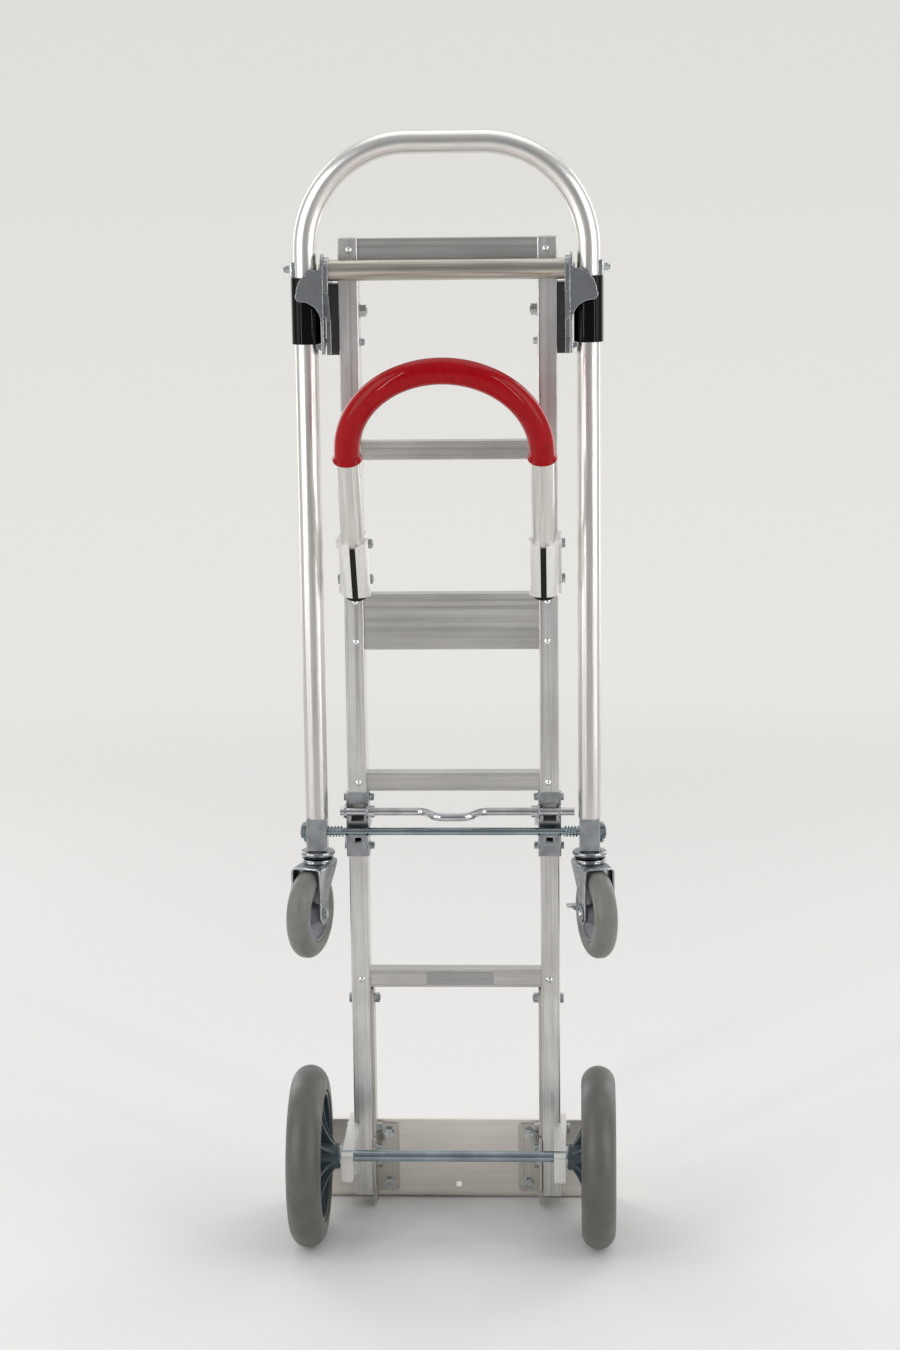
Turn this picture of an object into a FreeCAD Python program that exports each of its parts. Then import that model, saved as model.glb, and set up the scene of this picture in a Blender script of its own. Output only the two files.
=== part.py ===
import FreeCAD, Part
import math
import os

# Convertible hand truck, millimetres. +Z up, +Y towards the load, origin on the floor under the
# middle of the overall box. Left is -X. The truck stands upright on its wheels and toe plate, with
# the U-handle stowed: its casters hang behind the rails.

V = FreeCAD.Vector
X, Y, Z = V(1, 0, 0), V(0, 1, 0), V(0, 0, 1)

# driving dimensions: wheels
WHEEL_D, WHEEL_W, WHEEL_X = 254.0, 47.6, 203.3
OVERALL_DEPTH = 478.0
AXLE_Y = WHEEL_D / 2 - OVERALL_DEPTH / 2
AXLE_Z = WHEEL_D / 2
AXLE_R = 7.9
RUNNING = 0.05          # radial clearance of a running or bolted fit
GAP = 0.3               # gap between bodies that move past each other

# driving dimensions: ladder frame
RAIL_X, RAIL_W, RAIL_D, RAIL_T = 149.7, 27.0, 44.0, 3.2
RAIL_WALL = 2.5         # inner wall of the rails
RAIL_BACK = AXLE_Y + 115.0
RAIL_FRONT = RAIL_BACK + RAIL_D
RAIL_IN = RAIL_X - RAIL_W
RAIL_TOP, RAIL_BOTTOM = 1401.0, 22.0
PLATE_T = 5.0           # toe plate thickness
BAR_D, BAR_T = 25.0, 2.5
BAR_BACK = RAIL_BACK + RAIL_T + 1.6
RIVET_X = RAIL_X - 15.2
# bottom edge, height and rivet heights of each cross bar
BARS = {
    "cross_bar_top": (1372.0, 29.0, (1385.7,)),
    "cross_bar_upper": (1097.5, 26.0, (1110.5,)),
    "cross_panel": (830.5, 79.0, (842.5, 899.0)),
    "cross_bar_lower": (627.0, 26.0, (640.0,)),
    "cross_bar_bottom": (337.0, 26.0, (350.0,)),
}
TOE_W, TOE_DEEP, TOE_BACK_H = 457.2, 239.0 - RAIL_FRONT, 122.0

# driving dimensions: U-handle, its hinge and its slide
TUBE_R, TUBE_T = 15.875, 2.1
U_X, U_Y, U_TOP, U_BEND = 192.5, -12.5, 1529.0, 142.0
SOCKET_TOP, SOCKET_BOTTOM, SOCKET_W = 594.0, 548.0, 29.0
HINGE_Z, CROSS_R = 1359.0, 14.3
PIVOT_Y = U_Y
SLEEVE_R, SLEEVE_TOP, SLEEVE_BOTTOM = 20.2, 1350.0, 1260.0
ROD_Z, ROD_R = 573.0, 5.5
SPACER_T, FIXED_T, SWING_T = 10.8, 6.2, 3.8
FIXED_X = RAIL_X + SPACER_T
SWING_X = FIXED_X + FIXED_T + GAP
HINGE_TOP, HINGE_BOTTOM = 1377.0, 1243.0
RELEASE_Z, RELEASE_R = 601.7, 5.5

# driving dimensions: loop handle, leaning back from the rails
LOOP_X, LEAN = 130.0, math.radians(29)
LOOP_FOOT_Z, LOOP_SPRING_Z = 912.0, 1123.0
LOOP_FOOT_Y = RAIL_BACK - 4.0 - TUBE_R / math.cos(LEAN)
GRIP_R = 17.6
CLAMP_TOP, CLAMP_BOTTOM, EAR_T = 998.0, 912.0, 4.5

# driving dimensions: casters
CASTER_D, CASTER_W, CASTER_Z, TRAIL, HEADING = 127.0, 32.0, 463.0, 34.0, 16.0
CROWN_TOP, CROWN_T = 531.5, 3.0
LEG_IN, LEG_T = 19.0, 3.0
LEVER_T, PEDAL_Y, PEDAL_Z, PEDAL_REACH = 2.5, -19.0, 471.0, 14.5


def box(x0, x1, y0, y1, z0, z1):
    """Block between two corners given in any order."""
    lo = V(min(x0, x1), min(y0, y1), min(z0, z1))
    return Part.makeBox(abs(x1 - x0), abs(y1 - y0), abs(z1 - z0), lo)


def rod(start, axis, radius, length):
    return Part.makeCylinder(radius, length, V(*start), axis)


def ring(start, axis, outer, inner, length):
    return rod(start, axis, outer, length).cut(rod(start, axis, inner, length))


def prism(points, axis, depth):
    """Closed outline pushed along an axis; a triple of points in a list is an arc."""
    edges = []
    last = None
    for item in points:
        if isinstance(item, list):
            edges.append(Part.LineSegment(last, item[0]).toShape() if last != item[0] else None)
            edges.append(Part.Arc(*item).toShape())
            last = item[2]
        else:
            if last is not None and last != item:
                edges.append(Part.LineSegment(last, item).toShape())
            last = item
    edges = [e for e in edges if e]
    first = points[0][0] if isinstance(points[0], list) else points[0]
    if last != first:
        edges.append(Part.LineSegment(last, first).toShape())
    face = Part.Face(Part.Wire(Part.__sortEdges__(edges)))
    return face.extrude(axis * depth)


def mirror(shape):
    return shape.mirror(V(0, 0, 0), X)


def sided(shape, side):
    """A right-hand (+X) shape on its own side: -1 mirrors it to the left."""
    return shape if side > 0 else mirror(shape)


def hex_prism(start, axis, across, height):
    """Hexagon of the given width across flats."""
    r = across / math.sqrt(3)
    side = X if abs(axis.x) < 0.5 else Y
    other = axis.cross(side)
    pts = [V(*start) + side * (r * math.cos(math.radians(60 * i)))
           + other * (r * math.sin(math.radians(60 * i))) for i in range(6)]
    return prism(pts, axis, height)


def bolt(start, axis, length, size):
    """Hex bolt with its head before start and a nut past the grip length."""
    r = size / 2
    a = V(axis.x, axis.y, axis.z)
    base = V(*start)
    head = hex_prism(base - a * (0.65 * size), a, 1.6 * size, 0.65 * size)
    washer = rod(base + a * length, a, 1.05 * size, 1.2)
    nut = hex_prism(base + a * (length + 1.2), a, 1.6 * size, 0.8 * size)
    shank = rod(base - a * 0.5, a, r, length + 1.2 + size)
    return head.fuse([shank, washer, nut]).removeSplitter()


def drill(shape, start, axis, size, length=60.0):
    """Clearance hole for a bolt of the given size."""
    a = V(axis.x, axis.y, axis.z)
    return shape.cut(rod(V(*start) - a * 1.0, a, size / 2 + RUNNING, length + 2.0))


def pipe(path, radius, wall):
    """Round tube along tangent lines and arcs."""
    wire = Part.Wire(path)
    first = wire.Edges[0]
    start, heading = first.valueAt(first.FirstParameter), first.tangentAt(first.FirstParameter)
    solids = []
    for r in (radius, radius - wall):
        hoop = Part.Wire(Part.Circle(start, heading, r).toShape())
        solids.append(wire.makePipeShell([hoop], True, False))
    return solids[0].cut(solids[1])


def round_edges(shape, radius, keep):
    """Fillet the edges for which keep(edge) is true."""
    chosen = [e for e in shape.Edges if keep(e)]
    return shape.makeFillet(radius, chosen) if chosen else shape


def along(edge, axis):
    """True where a straight edge runs along an axis."""
    if not isinstance(edge.Curve, Part.Line):
        return False
    return abs(edge.Curve.Direction.dot(axis)) > 0.999


# ---------------------------------------------------------------- ladder frame

STRIP_T = 3.8
WEB_BOLT_Y = RAIL_BACK + 26.0
LATCH_BOLT_Y = WEB_BOLT_Y - 10.0
TOE_WEB_BOLTS = (315.0,)
TOE_FACE_BOLTS = ((102.0, 27.0), (102.0, 104.0))
AXLE_BOLTS = ((RAIL_BACK + 28.0, 62.0), (RAIL_BACK + 16.0, 88.0), (RAIL_BACK + 28.0, 116.0))
CLAMP_BOLTS = (928.0, 978.0)
HINGE_BOLTS = ((1302.0, 10.0), (1259.0, 6.0))
LATCH_BOLTS = (545.0, 616.0)
M8, M6, M5 = 8.0, 6.0, 4.8
# windows through the latch brackets and the back of the rails: x and z limits
LATCH_WINDOWS = ((126.0, 146.6, 583.0, 610.0), (130.0, 142.0, 553.0, 561.0))


def rail(side):
    """Box extrusion with two grooves outside, and windows inside for the ends of the cross bars."""
    x0, x1, y0, y1 = RAIL_IN, RAIL_X, RAIL_BACK, RAIL_FRONT
    z0, h = RAIL_BOTTOM, RAIL_TOP - RAIL_BOTTOM
    body = box(x0, x1, y0, y1, z0, RAIL_TOP)
    body = round_edges(body, 2.0, lambda e: along(e, Z))
    body = body.cut(box(x0 + RAIL_WALL, x1 - RAIL_T, y0 + RAIL_T, y1 - RAIL_T, z0, RAIL_TOP))
    for bottom, height, _ in BARS.values():
        body = body.cut(box(x0 - 1, x0 + RAIL_WALL + 1, y0 + RAIL_T, BAR_BACK + BAR_D + 0.1,
                            bottom - 0.1, bottom + height + 0.1))
    for x_low, x_high, z_low, z_high in LATCH_WINDOWS:
        body = body.cut(box(x_low + 1, x_high - 1, y0 - 1, y0 + RAIL_T, z_low + 1, z_high - 1))
    for y in (y0 + 11, y1 - 11):
        body = body.cut(Part.makeCylinder(0.9, h, V(x1 + 0.3, y, z0), Z))
    for _, _, heights in BARS.values():
        for z in heights:
            body = drill(body, (RIVET_X, y0, z), Y, M5, RAIL_T)
    for z in TOE_WEB_BOLTS + CLAMP_BOLTS:
        body = drill(body, (x0, WEB_BOLT_Y, z), X, M8, RAIL_W)
    for y, z in AXLE_BOLTS:
        body = drill(body, (x0, y, z), X, M8, RAIL_W)
    for z, size in HINGE_BOLTS:
        body = drill(body, (x0, WEB_BOLT_Y, z), X, size, RAIL_W)
    for z in LATCH_BOLTS:
        body = drill(body, (x0, LATCH_BOLT_Y, z), X, M6, RAIL_W)
    return sided(body, side)


def cross_bar(bottom, height, rivets):
    """Box extrusion between the rails; its back face carries two shallow ribs near its edges."""
    x1, y0 = RAIL_X - RAIL_T - 0.4, BAR_BACK
    body = box(-x1, x1, y0, y0 + BAR_D, bottom, bottom + height)
    body = round_edges(body, 1.0, lambda e: along(e, X))
    inner = box(-x1, x1, y0 + BAR_T, y0 + BAR_D - BAR_T, bottom + BAR_T, bottom + height - BAR_T)
    body = body.cut(inner)
    for z in (bottom + 4.0, bottom + height - 4.0):
        body = body.cut(box(-x1, x1, y0, y0 + 0.6, z - 0.6, z + 0.6))
    tongue = RAIL_IN + 5.2
    for s in (-1, 1):
        pad = box(s * tongue, s * x1, y0 - 1.5, y0, bottom + 2, bottom + height - 2)
        body = body.fuse(pad)
        for z in rivets:
            body = drill(body, (s * RIVET_X, y0 - 1.5, z), Y, M5, BAR_T + 1.5)
    return body.removeSplitter()


def frame_rivets():
    """Domed rivets through the rear flanges into the cross bars."""
    out = []
    for _, _, heights in BARS.values():
        for z in heights:
            for s in (-1, 1):
                dome = Part.makeSphere(6.2, V(s * RIVET_X, RAIL_BACK + 4.2, z))
                dome = dome.common(rod((s * RIVET_X, RAIL_BACK - 3, z), Y, 4.6, 3.0))
                shank = rod((s * RIVET_X, RAIL_BACK - 1, z), Y, 2.4, RAIL_T + BAR_T + 2.4)
                out.append(dome.fuse(shank))
    return Part.makeCompound(out)


def toe_plate():
    """Sheet bent to an L: a back up the front of the rails, and a plate on the floor."""
    y0, y1 = RAIL_FRONT, RAIL_FRONT + TOE_DEEP
    bend = 11.0
    outer = [V(0, y0, TOE_BACK_H), V(0, y0, bend),
             [V(0, y0, bend), V(0, y0 + bend * (1 - math.sqrt(0.5)), bend * (1 - math.sqrt(0.5))),
              V(0, y0 + bend, 0)],
             V(0, y1, 0), V(0, y1, 2.0), V(0, y1 - 14, PLATE_T)]
    r = bend - PLATE_T
    k = r * (1 - math.sqrt(0.5))
    inner = [V(0, y0 + bend, PLATE_T),
             [V(0, y0 + bend, PLATE_T), V(0, y0 + PLATE_T + k, PLATE_T + k), V(0, y0 + PLATE_T, bend)],
             V(0, y0 + PLATE_T, TOE_BACK_H)]
    body = prism(outer + inner, X, TOE_W)
    body.translate(V(-TOE_W / 2, 0, 0))
    body = round_edges(body, 12.0, lambda e: along(e, Z) and e.CenterOfMass.y > y1 - 1)
    body = body.cut(box(-4, 4, y0 - 1, y0 + PLATE_T + 1, 18.5, 26.5))
    for s in (-1, 1):
        for x, z in TOE_FACE_BOLTS:
            body = drill(body, (s * x, y0, z), Y, M8, PLATE_T)
    return body


def toe_bracket(side):
    """Angle: a strip up the inside of the rail and a leg along the back of the toe plate."""
    x1 = RAIL_IN - GAP / 3
    x0 = x1 - STRIP_T
    y1 = RAIL_FRONT - 0.05
    strip = box(x0, x1, RAIL_BACK + 8, y1, PLATE_T + 1, 336)
    strip = round_edges(strip, 12, lambda e: along(e, X) and e.CenterOfMass.z > 300)
    leg = box(87.5, x1, y1 - STRIP_T, y1, PLATE_T + 8, 117)
    leg = round_edges(leg, 6, lambda e: along(e, Y) and e.CenterOfMass.x < 90)
    body = strip.fuse(leg)
    rib = box(x0, x1, RAIL_BACK - 7, RAIL_BACK + 9, 24, 110)
    rib = round_edges(rib, 14, lambda e: along(e, X) and e.CenterOfMass.y < RAIL_BACK)
    body = body.fuse(rib)
    for z in TOE_WEB_BOLTS:
        body = drill(body, (x0, WEB_BOLT_Y, z), X, M8, STRIP_T)
    for y, z in AXLE_BOLTS:
        body = drill(body, (x0, y, z), X, M8, STRIP_T)
    for x, z in TOE_FACE_BOLTS:
        body = drill(body, (x, y1 - STRIP_T, z), Y, M8, STRIP_T)
    return sided(body.removeSplitter(), side)


def toe_bolts():
    out = []
    for s in (-1, 1):
        for x, z in TOE_FACE_BOLTS:
            out.append(bolt((s * x, RAIL_FRONT + PLATE_T, z), -Y, PLATE_T + STRIP_T + 0.1, M8))
        for z in TOE_WEB_BOLTS:
            grip = RAIL_W + STRIP_T + 0.2
            out.append(bolt((s * RAIL_X, WEB_BOLT_Y, z), X * -s, grip, M8))
    return Part.makeCompound(out)


def label_plate():
    """Blank plate on the back of the bottom bar."""
    y = BAR_BACK
    body = box(-42, 55, y - 0.8, y, 341.5, 359.5)
    return round_edges(body, 2, lambda e: along(e, Y))


# ---------------------------------------------------------------- loop handle

def loop_point(x, up):
    """Point of the leaning plane: up is measured along the lean from the foot."""
    return V(x, LOOP_FOOT_Y - up * math.sin(LEAN), LOOP_FOOT_Z + up * math.cos(LEAN))


LOOP_LEG = (LOOP_SPRING_Z - LOOP_FOOT_Z) / math.cos(LEAN)


def loop_path(foot, half_angle):
    """Legs and arch of the loop, or with foot None only the arch, cut at half_angle from the top."""
    def arch(deg):
        a = math.radians(deg)
        return loop_point(LOOP_X * math.sin(a), LOOP_LEG + LOOP_X * math.cos(a))
    left, top, right = arch(-half_angle), arch(0), arch(half_angle)
    edges = [Part.Arc(left, arch(-half_angle / 2), top).toShape(),
             Part.Arc(top, arch(half_angle / 2), right).toShape()]
    if foot is not None:
        edges.insert(0, Part.LineSegment(loop_point(-LOOP_X, foot), left).toShape())
        edges.append(Part.LineSegment(right, loop_point(LOOP_X, foot)).toShape())
    return edges


def loop_handle_tube():
    return pipe(loop_path(2.0, 90), TUBE_R, TUBE_T)


def loop_grip():
    """Soft sleeve over the arch, flared at both ends."""
    grip = pipe(loop_path(None, 90), GRIP_R, GRIP_R - TUBE_R - RUNNING)
    down = V(0, math.sin(LEAN), -math.cos(LEAN))
    flares = []
    for s in (-1, 1):
        start = loop_point(s * LOOP_X, LOOP_LEG)
        cone = Part.makeCone(GRIP_R, GRIP_R + 2.4, 9.0, start, down)
        flares.append(cone.cut(Part.makeCylinder(TUBE_R + RUNNING, 9.0, start, down)))
    return grip.fuse(flares)


def loop_clamp(side):
    """Split casting: two ears over the rail and a slotted socket round the foot of the leg."""
    up = V(0, -math.sin(LEAN), math.cos(LEAN))
    reach = (CLAMP_TOP - CLAMP_BOTTOM) / math.cos(LEAN)
    foot = loop_point(LOOP_X, 0)
    shell = Part.makeCylinder(TUBE_R + 4.2, reach, foot, up)
    x0, x1 = RAIL_IN - GAP / 3 - EAR_T, RAIL_X + GAP / 3 + EAR_T
    back, front = RAIL_BACK - 0.1, RAIL_BACK + 37.0
    ears = box(x0, x1, back, front, CLAMP_BOTTOM + 2, CLAMP_TOP - 3)
    ears = ears.cut(box(RAIL_IN - GAP / 3, RAIL_X + GAP / 3, back, front, 900, 1010))
    ears = round_edges(ears, 8, lambda e: along(e, X) and e.CenterOfMass.y > front - 1)
    y_top = foot.y - reach * math.sin(LEAN)
    wedge = prism([V(x0, back, CLAMP_BOTTOM + 2), V(x0, back, CLAMP_TOP - 3),
                   V(x0, y_top + 6, CLAMP_TOP - 3), V(x0, foot.y + 4, CLAMP_BOTTOM + 2)],
                  X, x1 - x0)
    wedge = wedge.cut(box(x0 - 1, x0 + 4, -110, back - 6, 926, 984))
    wedge = wedge.cut(box(x1 - 4, x1 + 1, -110, back - 6, 926, 984))
    body = shell.fuse([wedge, ears])
    body = body.cut(Part.makeCylinder(TUBE_R + RUNNING, reach + 80, foot - up * 40, up))
    slot = Part.makeBox(8.0, 40.0, reach + 40)
    slot.translate(V(-4.0, -40.0, -20))
    slot.rotate(V(0, 0, 0), X, math.degrees(LEAN))
    slot.translate(V(foot.x, foot.y, foot.z))
    body = body.cut(slot)
    body = body.common(box(x0 - 20, x1, -140, front, CLAMP_BOTTOM, CLAMP_TOP))
    for z in CLAMP_BOLTS:
        body = drill(body, (x0, WEB_BOLT_Y, z), X, M8, x1 - x0)
    return sided(body.removeSplitter(), side)


def clamp_bolts():
    x1 = RAIL_X + GAP / 3 + EAR_T
    grip = RAIL_W + 2 * EAR_T + 2 * GAP / 3
    return Part.makeCompound([bolt((s * x1, WEB_BOLT_Y, z), X * -s, grip, M8)
                              for s in (-1, 1) for z in CLAMP_BOLTS])


# ---------------------------------------------------------------- fold hinge

def hinge_spacer(side):
    """Block that stands the hinge plate off the rail."""
    body = box(RAIL_X + 0.05, FIXED_X - 0.05, RAIL_BACK + 2, RAIL_BACK + 42, HINGE_BOTTOM, 1340)
    body = round_edges(body, 3, lambda e: along(e, X))
    for z, size in HINGE_BOLTS:
        body = drill(body, (RAIL_X, WEB_BOLT_Y, z), X, size, SPACER_T)
    return sided(body, side)


def hinge_plate(side):
    """Plate on the rail that carries the cross tube, with a lip turned out at its lower end."""
    x0 = FIXED_X
    tip, low = PIVOT_Y - 20, HINGE_BOTTOM
    body = prism([V(x0, RAIL_BACK + 42, low + 8), V(x0, RAIL_BACK + 42, 1340),
                  V(x0, PIVOT_Y + 14, 1372),
                  [V(x0, PIVOT_Y + 14, 1372), V(x0, PIVOT_Y, HINGE_Z + 18), V(x0, tip, 1366)],
                  V(x0, tip, 1330), V(x0, RAIL_BACK + 2, 1290), V(x0, RAIL_BACK + 2, low)],
                 X, FIXED_T)
    body = body.cut(rod((x0 - 1, PIVOT_Y, HINGE_Z), X, CROSS_R + RUNNING, FIXED_T + 2))
    for z, size in HINGE_BOLTS:
        body = drill(body, (x0, WEB_BOLT_Y, z), X, size, FIXED_T)
    return sided(body, side)


def hinge_bolts():
    out = []
    for s in (-1, 1):
        for z, size in HINGE_BOLTS:
            grip = SPACER_T + FIXED_T + RAIL_W
            out.append(bolt((s * (FIXED_X + FIXED_T), WEB_BOLT_Y, z), X * -s, grip, size))
    return Part.makeCompound(out)


def hinge_cross_tube():
    """Tube that turns in both hinge plates."""
    end = SWING_X + SWING_T
    body = ring((-end, PIVOT_Y, HINGE_Z), X, CROSS_R, CROSS_R - 2.2, 2 * end)
    for s in (-1, 1):
        body = body.fuse(rod((s * (end - 4), PIVOT_Y, HINGE_Z), X * s, CROSS_R - 2.2, 4.0))
        body = body.fuse(rod((s * end, PIVOT_Y, HINGE_Z), X * s, 8.6, 3.6))
    return body


FIN_BACK = U_Y - SLEEVE_R - 3.6


def swing_plate(side):
    """Plate on the cross tube, with a curved fin turned out behind the sleeve and a foot under it."""
    x0, x1 = SWING_X, SWING_X + SWING_T
    front = PIVOT_Y + 13.0
    flat = prism([V(x0, FIN_BACK, 1291), V(x0, FIN_BACK, 1366),
                  [V(x0, FIN_BACK, 1366), V(x0, PIVOT_Y - 2, HINGE_Z + 22), V(x0, front, 1366)],
                  V(x0, front, 1262), V(x0, PIVOT_Y - 4, 1246), V(x0, PIVOT_Y - 16, 1246)],
                 X, SWING_T)
    fin = prism([V(x1 - 1, FIN_BACK, 1366), V(x0 + 6.5, FIN_BACK, 1361),
                 [V(x0 + 6.5, FIN_BACK, 1361), V(x0 + 29, FIN_BACK, 1350), V(x0 + 36.8, FIN_BACK, 1330)],
                 [V(x0 + 36.8, FIN_BACK, 1330), V(x0 + 37.3, FIN_BACK, 1322), V(x0 + 33, FIN_BACK, 1318)],
                 [V(x0 + 33, FIN_BACK, 1318), V(x0 + 14, FIN_BACK, 1312), V(x0 + 3.5, FIN_BACK, 1291)],
                 V(x1 - 1, FIN_BACK, 1291)], Y, 3.0)
    foot = prism([V(x0, PIVOT_Y - 16, 1249), V(x0, PIVOT_Y - 16, 1259.9), V(x1 + 7, PIVOT_Y - 16, 1259.9),
                  V(x1 + 7, PIVOT_Y - 16, 1255)], Y, 14)
    foot = foot.cut(rod((U_X, U_Y, 1200), Z, TUBE_R + GAP, 200))
    body = flat.fuse([fin, foot])
    body = body.cut(rod((x0 - 1, PIVOT_Y, HINGE_Z), X, CROSS_R + 0.02, SWING_T + 2))
    body = body.cut(rod((U_X, U_Y, 1200), Z, SLEEVE_R + 0.03, 154))
    return sided(body.removeSplitter(), side)


def guide_sleeve(side):
    """Plastic bush that the U-handle slides through, with rounded ends."""
    h = SLEEVE_TOP - SLEEVE_BOTTOM
    body = rod((U_X, U_Y, SLEEVE_BOTTOM), Z, SLEEVE_R, h)
    body = round_edges(body, 1.2, lambda e: isinstance(e.Curve, Part.Circle))
    body = body.cut(rod((U_X, U_Y, SLEEVE_BOTTOM), Z, TUBE_R + 0.08, h))
    return sided(body, side)


# ---------------------------------------------------------------- U-handle

def u_handle_tube():
    """Tall bent tube: two legs, two bends and a short straight top."""
    r, k = U_BEND, U_BEND * (1 - math.sqrt(0.5))
    zb, xt = U_TOP - r, U_X - r
    foot = SOCKET_TOP + 0.05
    edges = [Part.LineSegment(V(-U_X, U_Y, foot), V(-U_X, U_Y, zb)).toShape(),
             Part.Arc(V(-U_X, U_Y, zb), V(-U_X + k, U_Y, U_TOP - k), V(-xt, U_Y, U_TOP)).toShape(),
             Part.LineSegment(V(-xt, U_Y, U_TOP), V(xt, U_Y, U_TOP)).toShape(),
             Part.Arc(V(xt, U_Y, U_TOP), V(U_X - k, U_Y, U_TOP - k), V(U_X, U_Y, zb)).toShape(),
             Part.LineSegment(V(U_X, U_Y, zb), V(U_X, U_Y, foot)).toShape()]
    return pipe(edges, TUBE_R, TUBE_T)


STOP_Z = HINGE_Z + 2.0


def stop_block(side):
    """Collar part on the outside of the leg that rests on the sleeve at the end of the slide."""
    x0 = U_X + 2
    z0 = SLEEVE_TOP + GAP
    body = box(x0, U_X + TUBE_R + 5.5, U_Y - 9, U_Y + 9, z0, z0 + 20)
    body = round_edges(body, 4, lambda e: along(e, Z) and e.CenterOfMass.x > U_X + TUBE_R)
    body = body.cut(rod((U_X, U_Y, z0 - 5), Z, TUBE_R + RUNNING, 40))
    nut_x = U_X + TUBE_R + 5.5
    nut = hex_prism((nut_x, U_Y, STOP_Z), X, 10.0, 5.0)
    dome = Part.makeCylinder(4.2, 3.0, V(nut_x + 5.0, U_Y, STOP_Z), X)
    return sided(body.fuse([nut, dome]), side)


def caster_socket(side):
    """Steel box under the leg: a plug up into the tube, and a bore for the cross rod."""
    w = SOCKET_W / 2
    body = box(U_X - w, U_X + w, U_Y - w - 1, U_Y + w + 1, SOCKET_BOTTOM, SOCKET_TOP)
    body = round_edges(body, 2.0, lambda e: along(e, Z))
    hollow = box(U_X - w + 3, U_X + w - 3, U_Y - w + 2, U_Y + w - 2, SOCKET_BOTTOM + 6, SOCKET_TOP - 6)
    body = body.cut(hollow)
    plug = rod((U_X, U_Y, SOCKET_TOP - 1), Z, TUBE_R - TUBE_T - RUNNING, 46)
    body = body.fuse(plug)
    body = body.cut(rod((U_X - w - 1, U_Y, ROD_Z), X, ROD_R + RUNNING, 2 * w + 2))
    body = body.cut(rod((U_X, U_Y, SOCKET_BOTTOM - 1), Z, 5.0 + RUNNING, 8))
    return sided(body, side)


def cross_rod():
    """Rod through both sockets, with a nut and washer outside each."""
    end = U_X + SOCKET_W / 2
    body = rod((-end - 9.0, U_Y, ROD_Z), X, ROD_R, 2 * end + 18.0)
    for s in (-1, 1):
        washer = rod((s * end, U_Y, ROD_Z), X * s, 10.5, 1.6)
        nut = hex_prism((s * (end + 1.6), U_Y, ROD_Z), X * s, 17.0, 6.4)
        body = body.fuse([washer, nut])
    return body


def rod_springs():
    """Coil spring on the rod beside each socket."""
    out = []
    wire_r, coil_r, pitch, turns = 1.1, 7.0, 4.4, 4.5
    for s in (-1, 1):
        helix = Part.makeHelix(pitch, pitch * turns, coil_r)
        hoop = Part.Wire(Part.Circle(V(coil_r, 0, 0), Y, wire_r).toShape())
        coil = Part.Wire(helix).makePipeShell([hoop], True, True)
        coil.rotate(V(0, 0, 0), Y, 90)
        coil.translate(V(U_X - SOCKET_W / 2 - pitch * turns - wire_r - 0.4, U_Y, ROD_Z))
        out.append(sided(coil, s))
    return Part.makeCompound(out)


def socket_bolts():
    """Cross bolts that hold each leg on its plug, with round nuts outside."""
    out = []
    for s in (-1, 1):
        for dy in (-1, 1):
            start = V(s * (U_X + SOCKET_W / 2), U_Y + dy * 9.0, SOCKET_TOP - 9.0 - 26.0 * (dy > 0))
            out.append(hex_prism(start, X * s, 8.0, 4.0).fuse(rod(start, X * s, 2.5, 6.0)))
    return Part.makeCompound(out)


# ---------------------------------------------------------------- latch

LATCH_TOP, LATCH_BOTTOM, LATCH_T = 625.0, 533.0, 2.6
LUG_Z = 549.0


def latch_bracket(side):
    """Channel over the back of the rail: a window, and on each side a hooked lug for the cross rod
    and a bored ear for the release bar."""
    xi, xo = RAIL_IN - 0.1, RAIL_X + 0.1
    y_back = RAIL_BACK - LATCH_T
    body = box(xi - LATCH_T, xo + LATCH_T, y_back, RAIL_BACK + 22, LATCH_BOTTOM, LATCH_TOP)
    body = round_edges(body, 1.8, lambda e: along(e, Z) and e.CenterOfMass.y < RAIL_BACK)
    body = body.cut(box(xi, xo, RAIL_BACK - 0.05, RAIL_BACK + 30, LATCH_BOTTOM, LATCH_TOP))
    body = round_edges(body, 8, lambda e: along(e, X) and e.CenterOfMass.y > RAIL_BACK + 20)
    for x_low, x_high, z_low, z_high in LATCH_WINDOWS:
        body = body.cut(box(x_low, x_high, y_back - 1, RAIL_BACK, z_low, z_high))
    lip = [V(0, y_back + 1, LUG_Z), V(0, y_back + 1, ROD_Z - ROD_R - 1.0),
           V(0, U_Y - 2, ROD_Z - ROD_R - 1.0), V(0, U_Y - 7.5, ROD_Z - 4.0),
           V(0, U_Y - 9.5, ROD_Z - 5.5), V(0, U_Y - 9.5, LUG_Z + 6), V(0, U_Y - 4, LUG_Z)]
    for x in (xi - LATCH_T, xo):
        lug = prism([p + V(x, 0, 0) for p in lip], X, LATCH_T)
        body = body.fuse(lug)
    for x in (xi - LATCH_T, xo):
        ear = rod((x, U_Y, RELEASE_Z), X, 9.5, LATCH_T)
        arm = box(x, x + LATCH_T, U_Y, y_back + 1, RELEASE_Z - 9.5, RELEASE_Z + 9.5)
        body = body.fuse([ear, arm])
    body = body.cut(rod((xi - LATCH_T - 1, U_Y, RELEASE_Z), X, RELEASE_R + RUNNING, RAIL_W + 2 * LATCH_T + 3))
    for z in LATCH_BOLTS:
        body = drill(body, (xi - LATCH_T, LATCH_BOLT_Y, z), X, M6, RAIL_W + 2 * LATCH_T + 1)
    return sided(body.removeSplitter(), side)


def latch_bolts():
    x1 = RAIL_X + 0.1 + LATCH_T
    grip = RAIL_W + 0.2 + 2 * LATCH_T
    return Part.makeCompound([bolt((s * x1, LATCH_BOLT_Y, z), X * -s, grip, M6)
                              for s in (-1, 1) for z in LATCH_BOLTS])


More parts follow.
